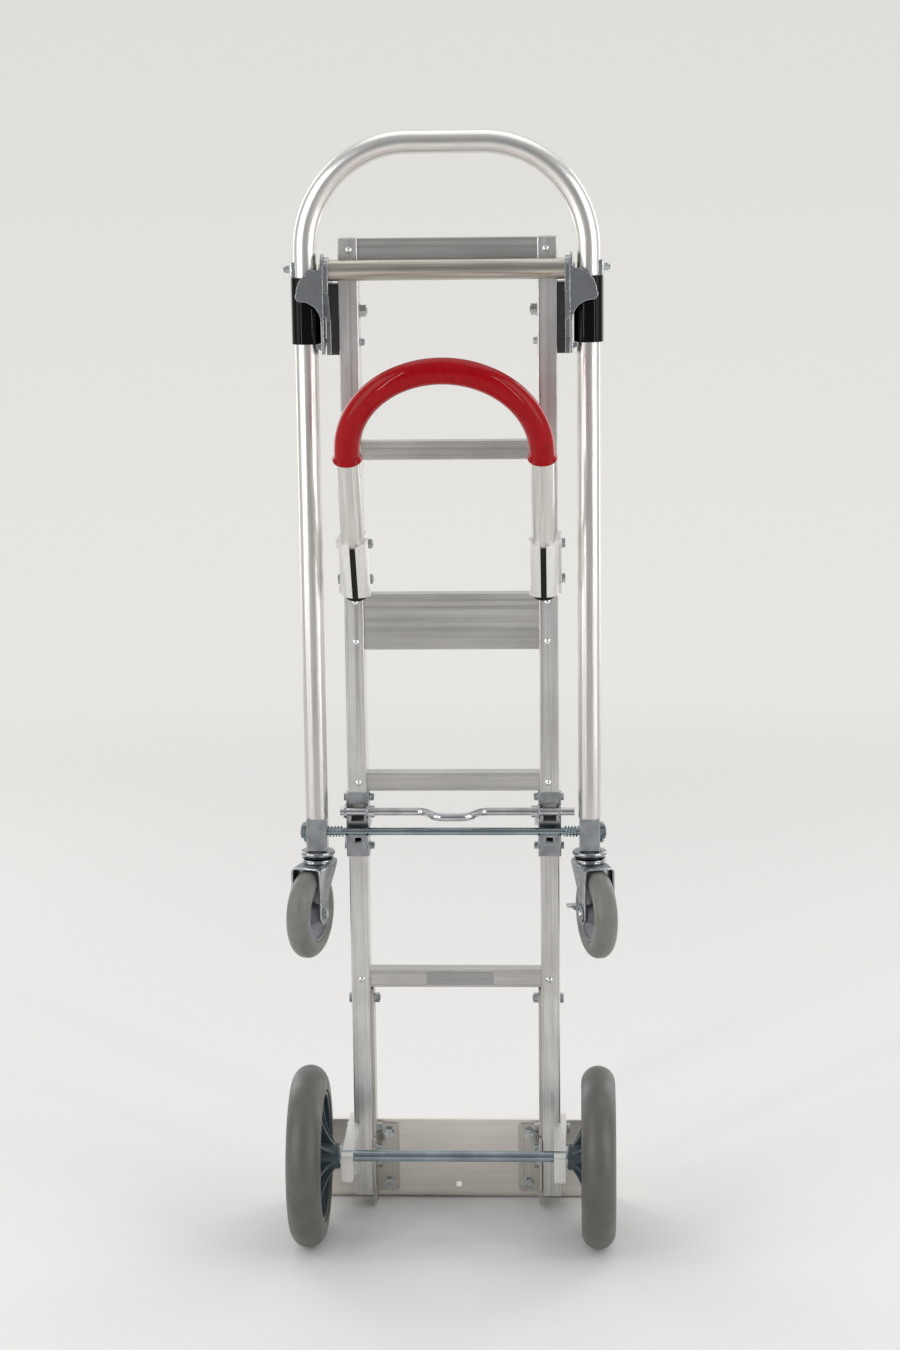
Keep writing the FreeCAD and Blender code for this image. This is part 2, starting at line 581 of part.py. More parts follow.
def release_bar():
    """Round bar through both latches, bent out in the middle to a pull, with two pawls; it ends in a
    washer and pin on the left and runs on past the latch on the right."""
    left_end, right_end = RAIL_X + LATCH_T + 7.0, RAIL_X + LATCH_T + 19.0
    out_y, half, bend, slope = U_Y - 34.0, 22.0, 20.0, 18.0
    y, z = U_Y, RELEASE_Z
    corners = [V(-left_end, y, z), V(-half - slope, y, z), V(-half, out_y, z),
               V(half, out_y, z), V(half + slope, y, z), V(right_end, y, z)]
    edges = []
    last = corners[0]
    for i in range(1, 5):
        a, b, c = corners[i - 1], corners[i], corners[i + 1]
        u, w = (a - b).normalize(), (c - b).normalize()
        turn = math.pi - u.getAngle(w)
        t = bend * math.tan(turn / 2)
        mid_dir = (u + w).normalize()
        centre = b + mid_dir * (bend / math.cos(turn / 2))
        edges.append(Part.LineSegment(last, b + u * t).toShape())
        edges.append(Part.Arc(b + u * t, centre - mid_dir * bend, b + w * t).toShape())
        last = b + w * t
    edges.append(Part.LineSegment(last, corners[5]).toShape())
    wire = Part.Wire(edges)
    hoop = Part.Wire(Part.Circle(corners[0], X, RELEASE_R).toShape())
    body = wire.makePipeShell([hoop], True, False)
    for s in (-1, 1):
        x = s * (RAIL_IN - 0.1 - LATCH_T - GAP)
        collar = rod((x, y, z), X * -s, 8.5, 9.0)
        pawl = prism([V(x, y - 7.5, z), V(x, y - 4.0, z - 18.7), V(x, y + 6.0, z - 18.7),
                      V(x, y + 7.5, z)], X * -s, 4.0)
        body = body.fuse([collar, pawl])
    washer = rod((-RAIL_X - 0.1 - LATCH_T - GAP, y, z), -X, 9.0, 1.6)
    pin = rod((-left_end + 1.9, y - 8.0, z), Y, 1.2, 16.0)
    return body.fuse([washer, pin]).removeSplitter()


# ---------------------------------------------------------------- main wheels

BRACKET_IN, BRACKET_MID, BRACKET_OUT = 141.5, RAIL_X + 0.15, 158.0


def axle_bracket(side):
    """Casting: a cheek along the outside of the rail and one behind it, joined by a lid, a web
    against the rail and the block that the axle passes through."""
    top, low, heel = 134.0, 50.0, 92.0
    rear, block_front = AXLE_Y - 18.0, AXLE_Y + 14.0

    def cheek(x, depth, front):
        return prism([V(x, front, low), V(x, front, top), V(x, rear + 8, top), V(x, rear + 8, heel),
                      V(x, block_front, heel), V(x, RAIL_BACK - 30, low + 14)], X, depth)

    outer = cheek(BRACKET_MID, BRACKET_OUT - BRACKET_MID, RAIL_FRONT - 4)
    inner = cheek(BRACKET_IN, 4.6, RAIL_BACK - 0.1)
    web = box(BRACKET_IN, BRACKET_MID + 2, RAIL_BACK - 6, RAIL_BACK - 0.1, low + 4, top)
    lid = box(BRACKET_IN, BRACKET_OUT, AXLE_Y, RAIL_BACK - 0.1, top - 4.5, top)
    block = box(BRACKET_IN, BRACKET_OUT, rear, block_front, heel, top)
    block = round_edges(block, 5, lambda e: along(e, X) and e.CenterOfMass.y < rear + 1)
    body = outer.fuse([inner, web, lid, block])
    body = body.cut(rod((BRACKET_IN - 1, AXLE_Y, AXLE_Z), X, AXLE_R + RUNNING, 20))
    for y, z in AXLE_BOLTS:
        body = drill(body, (BRACKET_MID, y, z), X, M8, 10)
    return sided(body.removeSplitter(), side)


def axle_bolts():
    out = []
    for s in (-1, 1):
        for y, z in AXLE_BOLTS:
            grip = BRACKET_OUT - RAIL_IN + STRIP_T + GAP / 3
            out.append(bolt((s * BRACKET_OUT, y, z), X * -s, grip, M8))
    return Part.makeCompound(out)


HUB_IN, HUB_OUT, AXLE_END = 160.6, 220.5, 226.0


def axle_rod():
    body = rod((-AXLE_END, AXLE_Y, AXLE_Z), X, AXLE_R, 2 * AXLE_END)
    return body.makeChamfer(1.0, [e for e in body.Edges if isinstance(e.Curve, Part.Circle)])


def axle_retainers():
    """Washers between bracket and hub and outside the hub, and a spring ring on each axle end."""
    out = []
    for s in (-1, 1):
        for x, t in ((BRACKET_OUT + 0.3, 2.0), (HUB_OUT + 0.3, 1.6)):
            out.append(sided(ring((x, AXLE_Y, AXLE_Z), X, 15.0, AXLE_R + RUNNING, t), s))
        clip = ring((HUB_OUT + 2.1, AXLE_Y, AXLE_Z), X, 11.0, AXLE_R + RUNNING, 1.6)
        out.append(sided(clip, s))
    return Part.makeCompound(out)


HUB_R, BEARING_R = 92.0, 13.0


def wheel_tyre(side):
    """Round-shouldered solid tyre on the rim."""
    w, r0, r1 = WHEEL_W / 2, HUB_R, WHEEL_D / 2
    c = r1 - w
    profile = [V(-w + 2, 0, r0 + 0.05), V(-w, 0, c - 4), V(-w, 0, c),
               [V(-w, 0, c), V(0, 0, r1), V(w, 0, c)],
               V(w, 0, c - 4), V(w - 2, 0, r0 + 0.05)]
    edges = [Part.LineSegment(profile[0], profile[1]).toShape(),
             Part.LineSegment(profile[1], profile[2]).toShape(),
             Part.Arc(*profile[3]).toShape(),
             Part.LineSegment(profile[3][2], profile[4]).toShape(),
             Part.LineSegment(profile[4], profile[5]).toShape(),
             Part.LineSegment(profile[5], profile[0]).toShape()]
    body = Part.Face(Part.Wire(edges)).revolve(V(0, 0, 0), X, 360)
    body.translate(V(WHEEL_X, AXLE_Y, AXLE_Z))
    return sided(body, side)


def wheel_hub(side):
    """Moulded hub: rim, thin web, long boss towards the bracket, and ribs between."""
    w = WHEEL_W / 2 - 2
    cx, boss = WHEEL_X, 21.0
    rim = ring((cx - w, 0, 0), X, HUB_R, HUB_R - 7, 2 * w)
    web = rod((cx - 3, 0, 0), X, HUB_R - 5, 6)
    hub = Part.makeCone(boss - 3, boss + 2, cx - HUB_IN, V(HUB_IN, 0, 0), X)
    hub = hub.fuse(rod((cx, 0, 0), X, boss, HUB_OUT - cx))
    body = rim.fuse([web, hub])
    t = 4.0
    for i in range(8):
        inner = prism([V(HUB_IN + 5, -t / 2, 10), V(cx - w + 3, -t / 2, HUB_R - 4), V(cx, -t / 2, HUB_R - 4),
                       V(cx, -t / 2, 10)], Y, t)
        outer = prism([V(HUB_OUT - 6, -t / 2, 10), V(cx + w - 5, -t / 2, HUB_R - 4), V(cx, -t / 2, HUB_R - 4),
                       V(cx, -t / 2, 10)], Y, t)
        rib = inner.fuse(outer)
        rib.rotate(V(0, 0, 0), X, 45 * i)
        body = body.fuse(rib)
    body = body.cut(rod((HUB_IN - 1, 0, 0), X, BEARING_R + 0.01, 70))
    body.translate(V(0, AXLE_Y, AXLE_Z))
    return sided(body.removeSplitter(), side)


def wheel_bearing(side):
    """Bush pressed in the hub, running on the axle."""
    body = ring((HUB_IN, AXLE_Y, AXLE_Z), X, BEARING_R, AXLE_R + RUNNING, HUB_OUT - HUB_IN)
    return sided(body, side)


# ---------------------------------------------------------------- casters
# A caster is drawn about its kingpin, trailing towards -Y, and then turned to its heading.

def placed(shape, side):
    shape.rotate(V(0, 0, 0), Z, HEADING * side)
    shape.translate(V(U_X * side, U_Y, 0))
    return shape


def caster_race(side):
    """Upper race and kingpin, fixed under the socket, with the seal ring of the balls."""
    z0 = CROWN_TOP + 4.6 + GAP
    race = revolved_cap(24.5, 15.0, z0 + 2.6, SOCKET_BOTTOM - 0.05)
    seal = rod((0, 0, z0), Z, 21.0, 3.0)
    pin = rod((0, 0, CROWN_TOP - CROWN_T - 7), Z, 5.0, SOCKET_BOTTOM + 11 - CROWN_TOP + CROWN_T)
    return placed(race.fuse([seal, pin]), side)


def revolved_cap(r_low, r_high, z_low, z_high):
    """Disc with a rounded shoulder, wider below."""
    mid = V(r_low - 1.0, 0, z_low + (z_high - z_low) * 0.62)
    edges = [Part.LineSegment(V(0, 0, z_low), V(r_low - 1.4, 0, z_low)).toShape(),
             Part.LineSegment(V(r_low - 1.4, 0, z_low), V(r_low, 0, z_low + 1.6)).toShape(),
             Part.LineSegment(V(r_low, 0, z_low + 1.6), mid).toShape(),
             Part.LineSegment(mid, V(r_high, 0, z_high)).toShape(),
             Part.LineSegment(V(r_high, 0, z_high), V(0, 0, z_high)).toShape(),
             Part.LineSegment(V(0, 0, z_high), V(0, 0, z_low)).toShape()]
    return Part.Face(Part.Wire(edges)).revolve(V(0, 0, 0), Z, 360)


def caster_fork(side):
    """Pressed fork: lower race, crown and two legs that sweep back to the axle."""
    legs_front, legs_back, low_r = TRAIL + 15.0, -14.0, 15.0
    half = LEG_IN + LEG_T
    crown = box(-half, half, -legs_front + 4, -legs_back + 8, CROWN_TOP - CROWN_T, CROWN_TOP)
    crown = round_edges(crown, 9, lambda e: along(e, Z) and e.CenterOfMass.y > 0)
    race = revolved_cap(23.6, 19.0, CROWN_TOP - 0.5, CROWN_TOP + 4.6)
    body = crown.fuse(race)
    for x in (-LEG_IN - LEG_T, LEG_IN):
        a, c = math.radians(-40), V(x, -TRAIL, CASTER_Z)
        rear = c + V(0, low_r * math.cos(a), low_r * math.sin(a) + 8)
        leg = prism([V(x, -legs_front, CROWN_TOP - 1), V(x, -legs_front, CASTER_Z),
                     [V(x, -legs_front, CASTER_Z), V(x, -TRAIL, CASTER_Z - low_r), rear],
                     [rear, V(x, -legs_back - 9, CASTER_Z + 34), V(x, -legs_back, CROWN_TOP - 12)],
                     V(x, -legs_back, CROWN_TOP - 1)], X, LEG_T)
        body = body.fuse(leg)
    body = body.cut(rod((0, 0, CROWN_TOP - CROWN_T - 1), Z, 5.0 + RUNNING, 20))
    body = body.cut(rod((-40, -TRAIL, CASTER_Z), X, 4.0 + RUNNING, 80))
    return placed(body.removeSplitter(), side)


def caster_axle(side):
    """Axle bolt with a low head, its thin nut and the spacer tube between the legs."""
    outer = LEG_IN + LEG_T
    left = outer + GAP + LEVER_T if side > 0 else outer
    spacer = rod((-LEG_IN + 0.1, -TRAIL, CASTER_Z), X, 6.0, 2 * LEG_IN - 0.2)
    shank = rod((-left - 1, -TRAIL, CASTER_Z), X, 4.0, left + outer + 5.2)
    head = Part.makeCone(6.2, 4.6, 2.2, V(-left, -TRAIL, CASTER_Z), -X)
    washer = rod((outer, -TRAIL, CASTER_Z), X, 8.0, 1.2)
    nut = hex_prism((outer + 1.2, -TRAIL, CASTER_Z), X, 12.0, 2.8)
    return placed(spacer.fuse([shank, head, washer, nut]), side)


def caster_tyre(side):
    """Cushion tyre with a rounded tread."""
    w, r1, r0 = CASTER_W / 2, CASTER_D / 2, 40.0
    c = r1 - w + 3
    edges = [Part.LineSegment(V(-w + 2, 0, r0 + 0.05), V(-w, 0, c - 6)).toShape(),
             Part.LineSegment(V(-w, 0, c - 6), V(-w, 0, c)).toShape(),
             Part.Arc(V(-w, 0, c), V(0, 0, r1), V(w, 0, c)).toShape(),
             Part.LineSegment(V(w, 0, c), V(w, 0, c - 6)).toShape(),
             Part.LineSegment(V(w, 0, c - 6), V(w - 2, 0, r0 + 0.05)).toShape(),
             Part.LineSegment(V(w - 2, 0, r0 + 0.05), V(-w + 2, 0, r0 + 0.05)).toShape()]
    body = Part.Face(Part.Wire(edges)).revolve(V(0, 0, 0), X, 360)
    body.translate(V(0, -TRAIL, CASTER_Z))
    return placed(body, side)


def caster_hub(side):
    """Hub with a web recessed on both faces and a boss that runs on the spacer."""
    r0, w = 40.0, CASTER_W / 2 - 2
    web, boss = rod((-4, 0, 0), X, r0 - 3, 8), rod((-17, 0, 0), X, 13.0, 34)
    body = ring((-w, 0, 0), X, r0, r0 - 5, 2 * w).fuse([web, boss])
    body = body.cut(rod((-30, 0, 0), X, 6.0 + RUNNING, 60))
    body.translate(V(0, -TRAIL, CASTER_Z))
    return placed(body.removeSplitter(), side)


def brake_lever():
    """Side lever of the right caster: a plate on the axle bolt and a pedal turned inwards."""
    x1 = -LEG_IN - LEG_T - GAP
    x0 = x1 - LEVER_T
    plate = rod((x0, -TRAIL, CASTER_Z), X, 12.0, LEVER_T)
    arm = prism([V(x0, -TRAIL - 8, CASTER_Z + 6), V(x0, PEDAL_Y - 8, PEDAL_Z + 3),
                 V(x0, PEDAL_Y + 7, PEDAL_Z + 3), V(x0, PEDAL_Y + 7, PEDAL_Z - 3),
                 V(x0, -TRAIL + 6, CASTER_Z - 8)], X, LEVER_T)
    pedal = box(x0 - PEDAL_REACH, x1, PEDAL_Y - 7, PEDAL_Y + 7, PEDAL_Z, PEDAL_Z + 3)
    pedal = round_edges(pedal, 5, lambda e: along(e, Z) and e.CenterOfMass.x < x0 - 10)
    gusset = prism([V(x0 + 1, PEDAL_Y - 1.5, PEDAL_Z - 8), V(x0 - 12, PEDAL_Y - 1.5, PEDAL_Z + 1),
                    V(x0 + 1, PEDAL_Y - 1.5, PEDAL_Z + 1)], Y, 3.0)
    body = plate.fuse([arm, pedal, gusset])
    body = body.cut(rod((x0 - 1, -TRAIL, CASTER_Z), X, 4.0 + RUNNING, 6))
    return placed(body.removeSplitter(), 1)


# ---------------------------------------------------------------- write every node

def stop_blocks():
    return Part.makeCompound([stop_block(s) for s in (-1, 1)])


def hinge_spacers():
    return Part.makeCompound([hinge_spacer(s) for s in (-1, 1)])


def write(name, shape):
    shape.exportStep(os.path.join("parts", name + ".step"))


PAIRS = {
    "rail": rail, "toe_bracket": toe_bracket, "loop_clamp": loop_clamp,
    "hinge_plate": hinge_plate, "swing_plate": swing_plate,
    "guide_sleeve": guide_sleeve, "caster_socket": caster_socket,
    "latch_bracket": latch_bracket, "axle_bracket": axle_bracket, "wheel_tyre": wheel_tyre,
    "wheel_hub": wheel_hub, "wheel_bearing": wheel_bearing, "caster_race": caster_race,
    "caster_fork": caster_fork, "caster_axle": caster_axle, "caster_tyre": caster_tyre,
    "caster_hub": caster_hub,
}
SINGLES = {
    "frame_rivets": frame_rivets, "toe_plate": toe_plate, "toe_bolts": toe_bolts,
    "label_plate": label_plate, "loop_handle_tube": loop_handle_tube, "loop_grip": loop_grip,
    "clamp_bolts": clamp_bolts, "hinge_bolts": hinge_bolts, "hinge_cross_tube": hinge_cross_tube,
    "u_handle_tube": u_handle_tube, "cross_rod": cross_rod, "rod_springs": rod_springs,
    "socket_bolts": socket_bolts, "latch_bolts": latch_bolts, "release_bar": release_bar,
    "axle_bolts": axle_bolts, "axle_rod": axle_rod, "axle_retainers": axle_retainers,
    "stop_blocks": stop_blocks, "hinge_spacers": hinge_spacers, "brake_lever": brake_lever,
}

os.makedirs("parts", exist_ok=True)
for name, make in PAIRS.items():
    for side, word in ((-1, "left"), (1, "right")):
        write(f"{name}_{word}", make(side))
for name, make in SINGLES.items():
    write(name, make())
for name, (bottom, height, rivets) in BARS.items():
    write(name, cross_bar(bottom, height, rivets))
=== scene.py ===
import logging
import math
from dataclasses import dataclass
from enum import Enum
from typing import Callable, Sequence

import bpy
from mathutils import Euler, Matrix, Vector

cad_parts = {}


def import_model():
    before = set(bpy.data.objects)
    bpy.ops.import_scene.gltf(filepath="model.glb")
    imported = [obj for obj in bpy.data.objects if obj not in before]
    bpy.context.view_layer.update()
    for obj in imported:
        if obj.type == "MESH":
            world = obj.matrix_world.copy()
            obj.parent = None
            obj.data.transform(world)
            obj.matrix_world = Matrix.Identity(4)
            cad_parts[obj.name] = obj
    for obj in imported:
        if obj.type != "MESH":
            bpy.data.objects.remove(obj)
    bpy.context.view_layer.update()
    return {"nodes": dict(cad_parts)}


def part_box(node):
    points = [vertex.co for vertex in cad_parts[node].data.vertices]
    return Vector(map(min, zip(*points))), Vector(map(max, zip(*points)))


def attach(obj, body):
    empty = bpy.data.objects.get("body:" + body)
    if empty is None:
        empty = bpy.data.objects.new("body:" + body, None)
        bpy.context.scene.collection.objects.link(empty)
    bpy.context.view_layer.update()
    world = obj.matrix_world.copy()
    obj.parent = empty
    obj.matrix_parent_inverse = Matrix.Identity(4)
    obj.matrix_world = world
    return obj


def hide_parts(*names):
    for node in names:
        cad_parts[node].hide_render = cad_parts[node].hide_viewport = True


LOG = logging.getLogger("hand_truck")
MM = 0.001
Point = tuple[float, float]
Colour = tuple[float, float, float, float]
Paint = Colour | bpy.types.NodeSocket


class Side(Enum):
    """Left is -X and right is +X, seen from behind the truck."""

    LEFT = -1
    RIGHT = 1

    @property
    def word(self) -> str:
        """The ending of this side's node and body names."""
        return self.name.lower()


class Grain(Enum):
    """The way the long marks of a metal run, as the length of a mark over its width on X, Y, Z."""

    ACROSS = (220.0, 1.0, 1.0)
    UP = (1.0, 1.0, 220.0)


# ------------------------------------------------------------------ material tools


def linear(hex_colour: str) -> Colour:
    """Turn an sRGB hex colour into linear RGBA.

    Args:
        hex_colour: six hex digits after a hash.

    Returns:
        Linear red, green, blue and an alpha of 1.
    """
    channels = [int(hex_colour[i:i + 2], 16) / 255 for i in (1, 3, 5)]
    low = [c / 12.92 if c <= 0.04045 else ((c + 0.055) / 1.055) ** 2.4 for c in channels]
    return (low[0], low[1], low[2], 1.0)


def add_node(tree: bpy.types.NodeTree, kind: str, inputs: dict | None = None, **settings) -> bpy.types.Node:
    """Add a node, set it up and link it.

    Args:
        tree: the node tree to add to.
        kind: Blender's type name of the node.
        inputs: socket name or index to a value, or to the output socket to link from.
        settings: the node's own properties.

    Returns:
        The new node.
    """
    node = tree.nodes.new(kind)
    for name, value in settings.items():
        setattr(node, name, value)
    for name, value in (inputs or {}).items():
        if isinstance(value, bpy.types.NodeSocket):
            tree.links.new(value, node.inputs[name])
        else:
            node.inputs[name].default_value = value
    return node


def marks(tree: bpy.types.NodeTree, place: bpy.types.NodeSocket, size: Sequence[float], detail: float = 3.0,
          low: float = 0.35, high: float = 0.65) -> bpy.types.NodeSocket:
    """Lay an irregular pattern whose marks have a real size.

    Args:
        tree: the node tree to add to.
        place: Object coordinates in metres.
        size: a mark's size in millimetres along X, Y and Z.
        detail: how many finer layers lie on the pattern.
        low: noise value that becomes 0.
        high: noise value that becomes 1.

    Returns:
        A factor from 0 to 1.
    """
    scale = tuple(1.0 / (s * MM) for s in size)
    turned = add_node(tree, "ShaderNodeMapping", {"Vector": place, "Scale": scale})
    noise = add_node(tree, "ShaderNodeTexNoise",
                     {"Vector": turned.outputs[0], "Scale": 1.0, "Detail": detail, "Roughness": 0.55})
    spread = add_node(tree, "ShaderNodeMapRange", {0: noise.outputs["Fac"], 1: low, 2: high})
    return spread.outputs[0]


def scaled(tree: bpy.types.NodeTree, factor: bpy.types.NodeSocket, most: float) -> bpy.types.NodeSocket:
    """Weaken a factor, so that it runs from 0 to the given most."""
    return add_node(tree, "ShaderNodeMapRange", {0: factor, 3: 0.0, 4: most}).outputs[0]


def rounded(tree: bpy.types.NodeTree, radius_mm: float) -> bpy.types.NodeSocket:
    """The surface normal as it would be with every edge broken by a small radius."""
    return add_node(tree, "ShaderNodeBevel", {"Radius": radius_mm * MM}, samples=4).outputs[0]


def edges(tree: bpy.types.NodeTree, soft: bpy.types.NodeSocket) -> bpy.types.NodeSocket:
    """Find the edges, where the rounded normal leaves the flat one.

    Args:
        tree: the node tree to add to.
        soft: the rounded normal.

    Returns:
        A factor that is 1 on edges and 0 on faces.
    """
    flat = add_node(tree, "ShaderNodeNewGeometry").outputs["Normal"]
    same = add_node(tree, "ShaderNodeVectorMath", {0: soft, 1: flat}, operation="DOT_PRODUCT")
    return add_node(tree, "ShaderNodeMapRange", {0: same.outputs["Value"], 1: 0.995, 2: 0.88}).outputs[0]


def blend(tree: bpy.types.NodeTree, factor: bpy.types.NodeSocket, first: Paint,
          second: Paint) -> bpy.types.NodeSocket:
    """Mix two colours by a factor.

    Args:
        tree: the node tree to add to.
        factor: 0 gives the first colour and 1 the second.
        first: a linear colour or a colour socket.
        second: a linear colour or a colour socket.

    Returns:
        The mixed colour.
    """
    mix = add_node(tree, "ShaderNodeMix", {0: factor, 6: first, 7: second}, data_type="RGBA")
    return mix.outputs[2]


@dataclass(frozen=True)
class Finish:
    """What all finishes share: a name, two close colours and a gloss."""

    name: str
    light: str
    dark: str
    roughness: float

    def material(self) -> bpy.types.Material:
        """Make the finish once and hand back the same material afterwards."""
        found = bpy.data.materials.get(self.name)
        if found is not None:
            return found
        made = bpy.data.materials.new(self.name)
        made.use_nodes = True
        tree = made.node_tree
        tree.nodes.clear()
        shader = add_node(tree, "ShaderNodeBsdfPrincipled")
        add_node(tree, "ShaderNodeOutputMaterial", {"Surface": shader.outputs[0]})
        place = add_node(tree, "ShaderNodeTexCoord").outputs["Object"]
        self.dress(tree, shader, place)
        return made

    def dress(self, tree: bpy.types.NodeTree, shader: bpy.types.Node, place: bpy.types.NodeSocket) -> None:
        """Add the finish's own nodes.

        Args:
            tree: the material's node tree.
            shader: its Principled shader.
            place: Object coordinates in metres.
        """
        raise NotImplementedError

    def gloss(self, tree: bpy.types.NodeTree, shader: bpy.types.Node, factor: bpy.types.NodeSocket,
              spread: float) -> None:
        """Let the roughness drift round its middle value with a pattern.

        Args:
            tree: the material's node tree.
            shader: its Principled shader.
            factor: the pattern, from 0 to 1.
            spread: how far the roughness goes to each side.
        """
        drift = add_node(tree, "ShaderNodeMapRange",
                         {0: factor, 3: self.roughness - spread, 4: self.roughness + spread})
        tree.links.new(drift.outputs[0], shader.inputs["Roughness"])

    def relief(self, tree: bpy.types.NodeTree, shader: bpy.types.Node, height: bpy.types.NodeSocket,
               depth_mm: float, soft: bpy.types.NodeSocket | None = None) -> None:
        """Raise a pattern on the surface, over edges softened by a small radius.

        Args:
            tree: the material's node tree.
            shader: its Principled shader.
            height: the pattern, from 0 to 1.
            depth_mm: height of the pattern in millimetres.
            soft: the rounded normal, or None where the piece has round edges of its own.
        """
        bump = add_node(tree, "ShaderNodeBump", {"Height": height, "Strength": 1.0, "Distance": depth_mm * MM})
        if soft is not None:
            tree.links.new(soft, bump.inputs["Normal"])
        tree.links.new(bump.outputs[0], shader.inputs["Normal"])


@dataclass(frozen=True)
class ExtrudedAluminium(Finish):
    """6061 extrusion as it leaves the die: long fine die lines, cloudy oxide and a few handling scuffs."""

    grain: Grain = Grain.UP
    line_mm: float = 0.9
    cloud_mm: float = 55.0
    edge_mm: float = 0.6

    def dress(self, tree: bpy.types.NodeTree, shader: bpy.types.Node, place: bpy.types.NodeSocket) -> None:
        """Add die lines along the grain, clouds of oxide, short scuffs, and pale edges that are partly rubbed and
        partly a painted edge highlight.
        """
        ratio = self.grain.value
        lines = marks(tree, place, [self.line_mm * r for r in ratio], 2.0)
        bands = marks(tree, place, [self.line_mm * 7 * r for r in ratio], 2.0, 0.3, 0.7)
        cloud = marks(tree, place, [self.cloud_mm * (2.5 if r > 1 else 1.0) for r in ratio], 4.0)
        scuff = marks(tree, place, [3.0 * (8 if r > 1 else 1.0) for r in ratio], 3.0, 0.68, 0.80)
        soft = rounded(tree, self.edge_mm)
        body = blend(tree, lines, linear(self.light), linear(self.dark))
        banded = blend(tree, bands, body, linear(self.light))
        clouded = blend(tree, scaled(tree, cloud, 0.55), banded, linear(self.dark))
        scuffed = blend(tree, scaled(tree, scuff, 0.08), clouded, linear("#6e6d6a"))
        # pale edges: partly rubbed bright, partly a painted edge highlight
        rubbed = blend(tree, scaled(tree, edges(tree, soft), 0.7), scuffed, linear("#efeeec"))
        tree.links.new(rubbed, shader.inputs["Base Color"])
        shader.inputs["Metallic"].default_value = 1.0
        self.gloss(tree, shader, bands, 0.07)
        self.relief(tree, shader, bands, 0.05, soft)


@dataclass(frozen=True)
class DrawnTube(Finish):
    """Drawn aluminium tube, bright and satin: faint long streaks and dull patches where hands and straps rub."""

    grain: Grain = Grain.UP
    lean_deg: float = 0.0
    # height below which the tube is painted dark as shade inside a clamp; far below the floor for none
    clamp_shade_z: float = -10.0
    bend_z: float = 10.0
    bend_mm: float = 60.0

    def dress(self, tree: bpy.types.NodeTree, shader: bpy.types.Node, place: bpy.types.NodeSocket) -> None:
        """Add long streaks that end where the tube bends, dull patches, small rub marks, and painted shade below a
        height where the tube sits inside a clamp.
        """
        ratio = self.grain.value
        along = add_node(tree, "ShaderNodeMapping",
                         {"Vector": place, "Rotation": (-math.radians(self.lean_deg), 0.0, 0.0)}).outputs[0]
        streak = marks(tree, along, [1.6 * min(r, 60.0) for r in ratio], 2.0)
        patch = marks(tree, along, (38.0, 38.0, 90.0), 2.0, 0.38, 0.70)
        rub = marks(tree, along, (9.0, 9.0, 22.0), 3.0, 0.60, 0.80)
        height = add_node(tree, "ShaderNodeSeparateXYZ", {0: place}).outputs["Z"]
        straight = add_node(tree, "ShaderNodeMapRange", {0: height, 1: self.bend_z, 2: self.bend_z - self.bend_mm * MM})
        shown = add_node(tree, "ShaderNodeMath", {0: streak, 1: straight.outputs[0]}, operation="MULTIPLY").outputs[0]
        body = blend(tree, shown, linear(self.light), linear(self.dark))
        patched = blend(tree, scaled(tree, patch, 0.18), body, linear(self.dark))
        rubbed = blend(tree, scaled(tree, rub, 0.06), patched, linear("#83817d"))
        # painted shade: the tube turns dark below this height, where it sits inside a clamp
        clamp_shade_mask = add_node(tree, "ShaderNodeMapRange", {0: height, 1: self.clamp_shade_z + 4 * MM, 2: self.clamp_shade_z})
        clamp_shaded = blend(tree, clamp_shade_mask.outputs[0], rubbed, linear("#2e2d2a"))
        tree.links.new(clamp_shaded, shader.inputs["Base Color"])
        shader.inputs["Metallic"].default_value = 1.0
        self.gloss(tree, shader, patch, 0.03)
        self.relief(tree, shader, shown, 0.002)


@dataclass(frozen=True)
class CastAluminium(Finish):
    """Sand casting, tumbled bright: a pebbled skin of grit size with darker pits."""

    grit_mm: float = 1.1
    edge_mm: float = 1.0

    def dress(self, tree: bpy.types.NodeTree, shader: bpy.types.Node, place: bpy.types.NodeSocket) -> None:
        """Add the pebbled skin and pits."""
        skin = marks(tree, place, (self.grit_mm,) * 3, 3.0)
        pits = marks(tree, place, (self.grit_mm * 4,) * 3, 5.0, 0.60, 0.72)
        soft = rounded(tree, self.edge_mm)
        worn = blend(tree, scaled(tree, pits, 0.5), linear(self.light), linear(self.dark))
        tree.links.new(worn, shader.inputs["Base Color"])
        shader.inputs["Metallic"].default_value = 1.0
        self.gloss(tree, shader, skin, 0.10)
        self.relief(tree, shader, skin, 0.05, soft)


@dataclass(frozen=True)
class ZincPlate(Finish):
    """Bright zinc plating on steel: a cold blue sheen that turns yellowish in clouds, and white edges, partly wear and
    partly a painted edge highlight.
    """

    cloud_mm: float = 14.0
    edge_mm: float = 0.7
    # colour of the white edges, partly wear and partly a painted edge highlight
    edge: str = "#f4f6f7"

    def dress(self, tree: bpy.types.NodeTree, shader: bpy.types.Node, place: bpy.types.NodeSocket) -> None:
        """Add the clouded tint, the fine tooth of the steel under it, and white edges, partly rubbed bright by handling
        and partly a painted edge highlight.
        """
        cloud = marks(tree, place, (self.cloud_mm,) * 3, 4.0)
        warm = marks(tree, place, (self.cloud_mm * 0.6,) * 3, 3.0, 0.55, 0.75)
        tooth = marks(tree, place, (0.8,) * 3, 2.0)
        soft = rounded(tree, self.edge_mm)
        body = blend(tree, cloud, linear(self.light), linear(self.dark))
        tinted = blend(tree, scaled(tree, warm, 0.18), body, linear("#c6c2a6"))
        # white edges: partly rubbed bright by handling, partly a painted edge highlight
        edge_worn_and_highlit = blend(tree, scaled(tree, edges(tree, soft), 0.85), tinted, linear(self.edge))
        tree.links.new(edge_worn_and_highlit, shader.inputs["Base Color"])
        shader.inputs["Metallic"].default_value = 1.0
        self.gloss(tree, shader, cloud, 0.07)
        self.relief(tree, shader, tooth, 0.01, soft)


